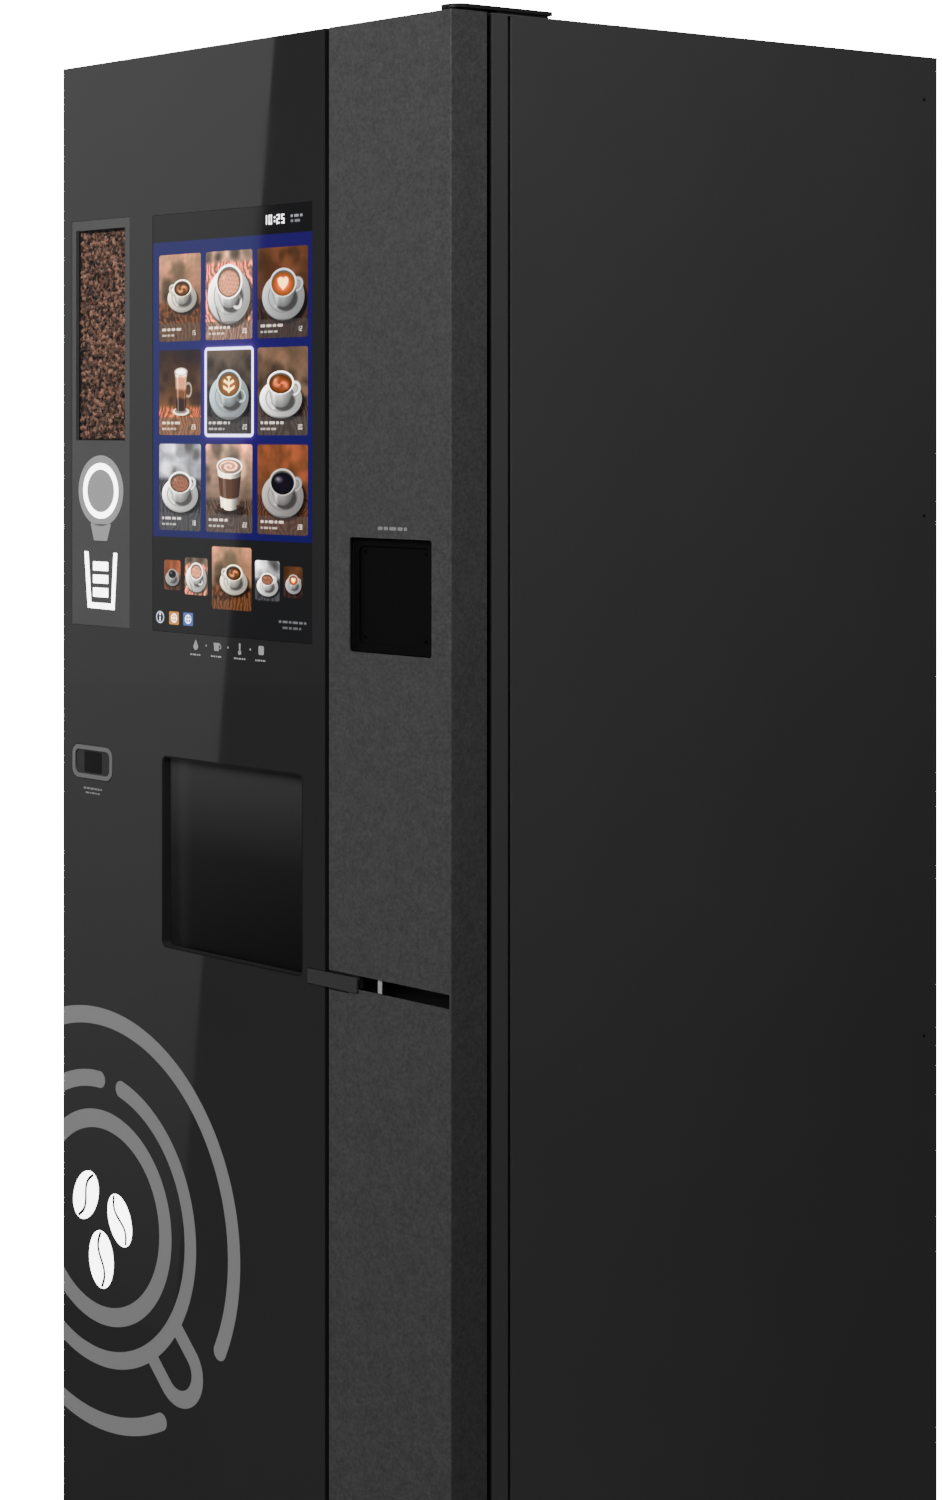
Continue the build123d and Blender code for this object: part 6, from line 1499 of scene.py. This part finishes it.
# ------------------------------------------------------------------ camera, floor, lights
cam_d = bpy.data.cameras.new("camera")
cam = bpy.data.objects.new("camera", cam_d)
bpy.context.scene.collection.objects.link(cam)
cam.location = (2.6036, -2.6812, 1.4014)
yaw = math.radians(57.04)
fwd = Vector((-math.sin(yaw), math.cos(yaw), 0.0))
cam.rotation_mode = "QUATERNION"
cam.rotation_quaternion = fwd.to_track_quat("-Z", "Y")
cam_d.lens = 36.0 * 3097.7 / 1500.0
cam_d.sensor_width = 36.0
cam_d.clip_start, cam_d.clip_end = 0.05, 200
for path, val in (("shift_x", 0.4573), ("shift_y", -0.2146)):
    dr = cam_d.driver_add(path).driver
    dr.type = "SCRIPTED"
    v = dr.variables.new()
    v.name = "x"
    v.type = "TRANSFORMS"
    v.targets[0].id = cam
    v.targets[0].transform_type = "LOC_X"
    v.targets[0].transform_space = "WORLD_SPACE"
    dr.expression = f"{val} if abs(x - 2.6036) < 0.0005 else 0"
bpy.context.scene.camera = cam

# floor: large pale sheet
bm = bmesh.new()
R_ = 14.0
add_cyl(bm, (0, 0, -0.004), R_, R_, 0.004, (0, 0, 1), 96)
M = Mat("floor_pale")
d = M.n("ShaderNodeBsdfDiffuse")
n1 = M.noise(3.0, 3, 0.5)
f1 = M.remap(n1.outputs["Fac"], 0.3, 0.7, 0.86, 0.9)
cmb = M.n("ShaderNodeCombineColor")
for i in range(3):
    M.l(f1, cmb.inputs[i])
M.l(cmb.outputs[0], d.inputs["Color"])
em = M.n("ShaderNodeEmission")
em.inputs["Color"].default_value = (1, 1, 1, 1)
em.inputs["Strength"].default_value = 1.0
lp = M.n("ShaderNodeLightPath")
adds = M.n("ShaderNodeAddShader")
mixs = M.n("ShaderNodeMixShader")
M.l(d.outputs[0], adds.inputs[0])
M.l(em.outputs[0], adds.inputs[1])
M.l(lp.outputs["Is Camera Ray"], mixs.inputs[0])
d2 = M.n("ShaderNodeBsdfDiffuse")
d2.inputs["Color"].default_value = (0.16, 0.16, 0.16, 1)
M.l(d2.outputs[0], mixs.inputs[1])
M.l(adds.outputs[0], mixs.inputs[2])
M.l(mixs.outputs[0], M.out.inputs["Surface"])
FLOOR_EMIT = em
floor = from_bm("floor", bm, M.m, None, sm=False)

# world: white to the eye, soft grey gradient for light and reflections
w = bpy.data.worlds.new("studio")
bpy.context.scene.world = w
w.use_nodes = True
t = w.node_tree
t.nodes.clear()
out = t.nodes.new("ShaderNodeOutputWorld")
bgc = t.nodes.new("ShaderNodeBackground")
bgc.inputs["Color"].default_value = (1, 1, 1, 1)
bgl = t.nodes.new("ShaderNodeBackground")
lp = t.nodes.new("ShaderNodeLightPath")
mx = t.nodes.new("ShaderNodeMixShader")
tcw = t.nodes.new("ShaderNodeTexCoord")
sxw = t.nodes.new("ShaderNodeSeparateXYZ")
t.links.new(tcw.outputs["Generated"], sxw.inputs[0])
mr = t.nodes.new("ShaderNodeMapRange")
mr.inputs["From Min"].default_value = -0.1
mr.inputs["From Max"].default_value = 0.7
mr.inputs["To Min"].default_value = 0.22
mr.inputs["To Max"].default_value = 1.0
t.links.new(sxw.outputs["Z"], mr.inputs["Value"])
t.links.new(mr.outputs["Result"], bgl.inputs["Color"])
bgc.inputs["Strength"].default_value = 20.0
bgl.inputs["Strength"].default_value = 0.42
t.links.new(lp.outputs["Is Camera Ray"], mx.inputs[0])
t.links.new(bgl.outputs[0], mx.inputs[1])
t.links.new(bgc.outputs[0], mx.inputs[2])
t.links.new(mx.outputs[0], out.inputs[0])
FLOOR_EMIT.inputs["Strength"].default_value = 20.0


def area(name, loc, target, size, power, size_y=None, spread=None):
    ld = bpy.data.lights.new(name, "AREA")
    ld.energy = power
    ld.shape = "RECTANGLE"
    ld.size = size
    ld.size_y = size_y or size
    if spread:
        ld.spread = math.radians(spread)
    o = bpy.data.objects.new(name, ld)
    bpy.context.scene.collection.objects.link(o)
    o.location = loc
    o.rotation_mode = "QUATERNION"
    o.rotation_quaternion = (Vector(target) - Vector(loc)).to_track_quat("-Z", "Y")
    o.visible_camera = False
    return o


area("key_front", (0.9, -3.6, 3.3), (0, -0.3, 1.5), 2.0, 62)
area("fill_right", (3.6, 0.0, 3.3), (0.3, 0, 1.6), 1.6, 16)
area("fill_back", (-1.5, 3.4, 2.8), (0, 0.3, 1.0), 2.0, 40)

# studio card that the front glass mirrors at the left, with a slanted edge
cy = -1.2
bm = bmesh.new()
vv = [bm.verts.new((x, cy, z)) for x, z in ((-0.780, 2.56), (-1.60, 2.56), (-1.60, -0.0), (-1.0790, 0.0))]
bm.faces.new(vv)
M = Mat("card_glow")
e = M.n("ShaderNodeEmission")
sz = M.n("ShaderNodeSeparateXYZ")
M.l(M.tc.outputs["Object"], sz.inputs[0])
cr = M.n("ShaderNodeValToRGB")
M.l(M.remap(sz.outputs["Z"], 0.0, 2.1), cr.inputs[0])
cr.color_ramp.elements[0].position = 0.0
cr.color_ramp.elements[0].color = (0.05, 0.05, 0.05, 1)
cr.color_ramp.elements[1].position = 1.0
cr.color_ramp.elements[1].color = (0.86, 0.86, 0.86, 1)
el = cr.color_ramp.elements.new(0.35)
el.color = (0.40, 0.40, 0.40, 1)
M.l(cr.outputs["Color"], e.inputs["Color"])
e.inputs["Strength"].default_value = 1.0
lp2 = M.n("ShaderNodeLightPath")
tr2 = M.n("ShaderNodeBsdfTransparent")
add2 = M.n("ShaderNodeAddShader")
M.l(tr2.outputs[0], add2.inputs[0])
M.l(e.outputs[0], add2.inputs[1])
mx2 = M.n("ShaderNodeMixShader")
M.l(lp2.outputs["Is Glossy Ray"], mx2.inputs[0])
M.l(tr2.outputs[0], mx2.inputs[1])
M.l(add2.outputs[0], mx2.inputs[2])
M.l(mx2.outputs[0], M.out.inputs["Surface"])
card = from_bm("reflection_card", bm, M.m, None, sm=False)
card.visible_camera = False
card.visible_shadow = False
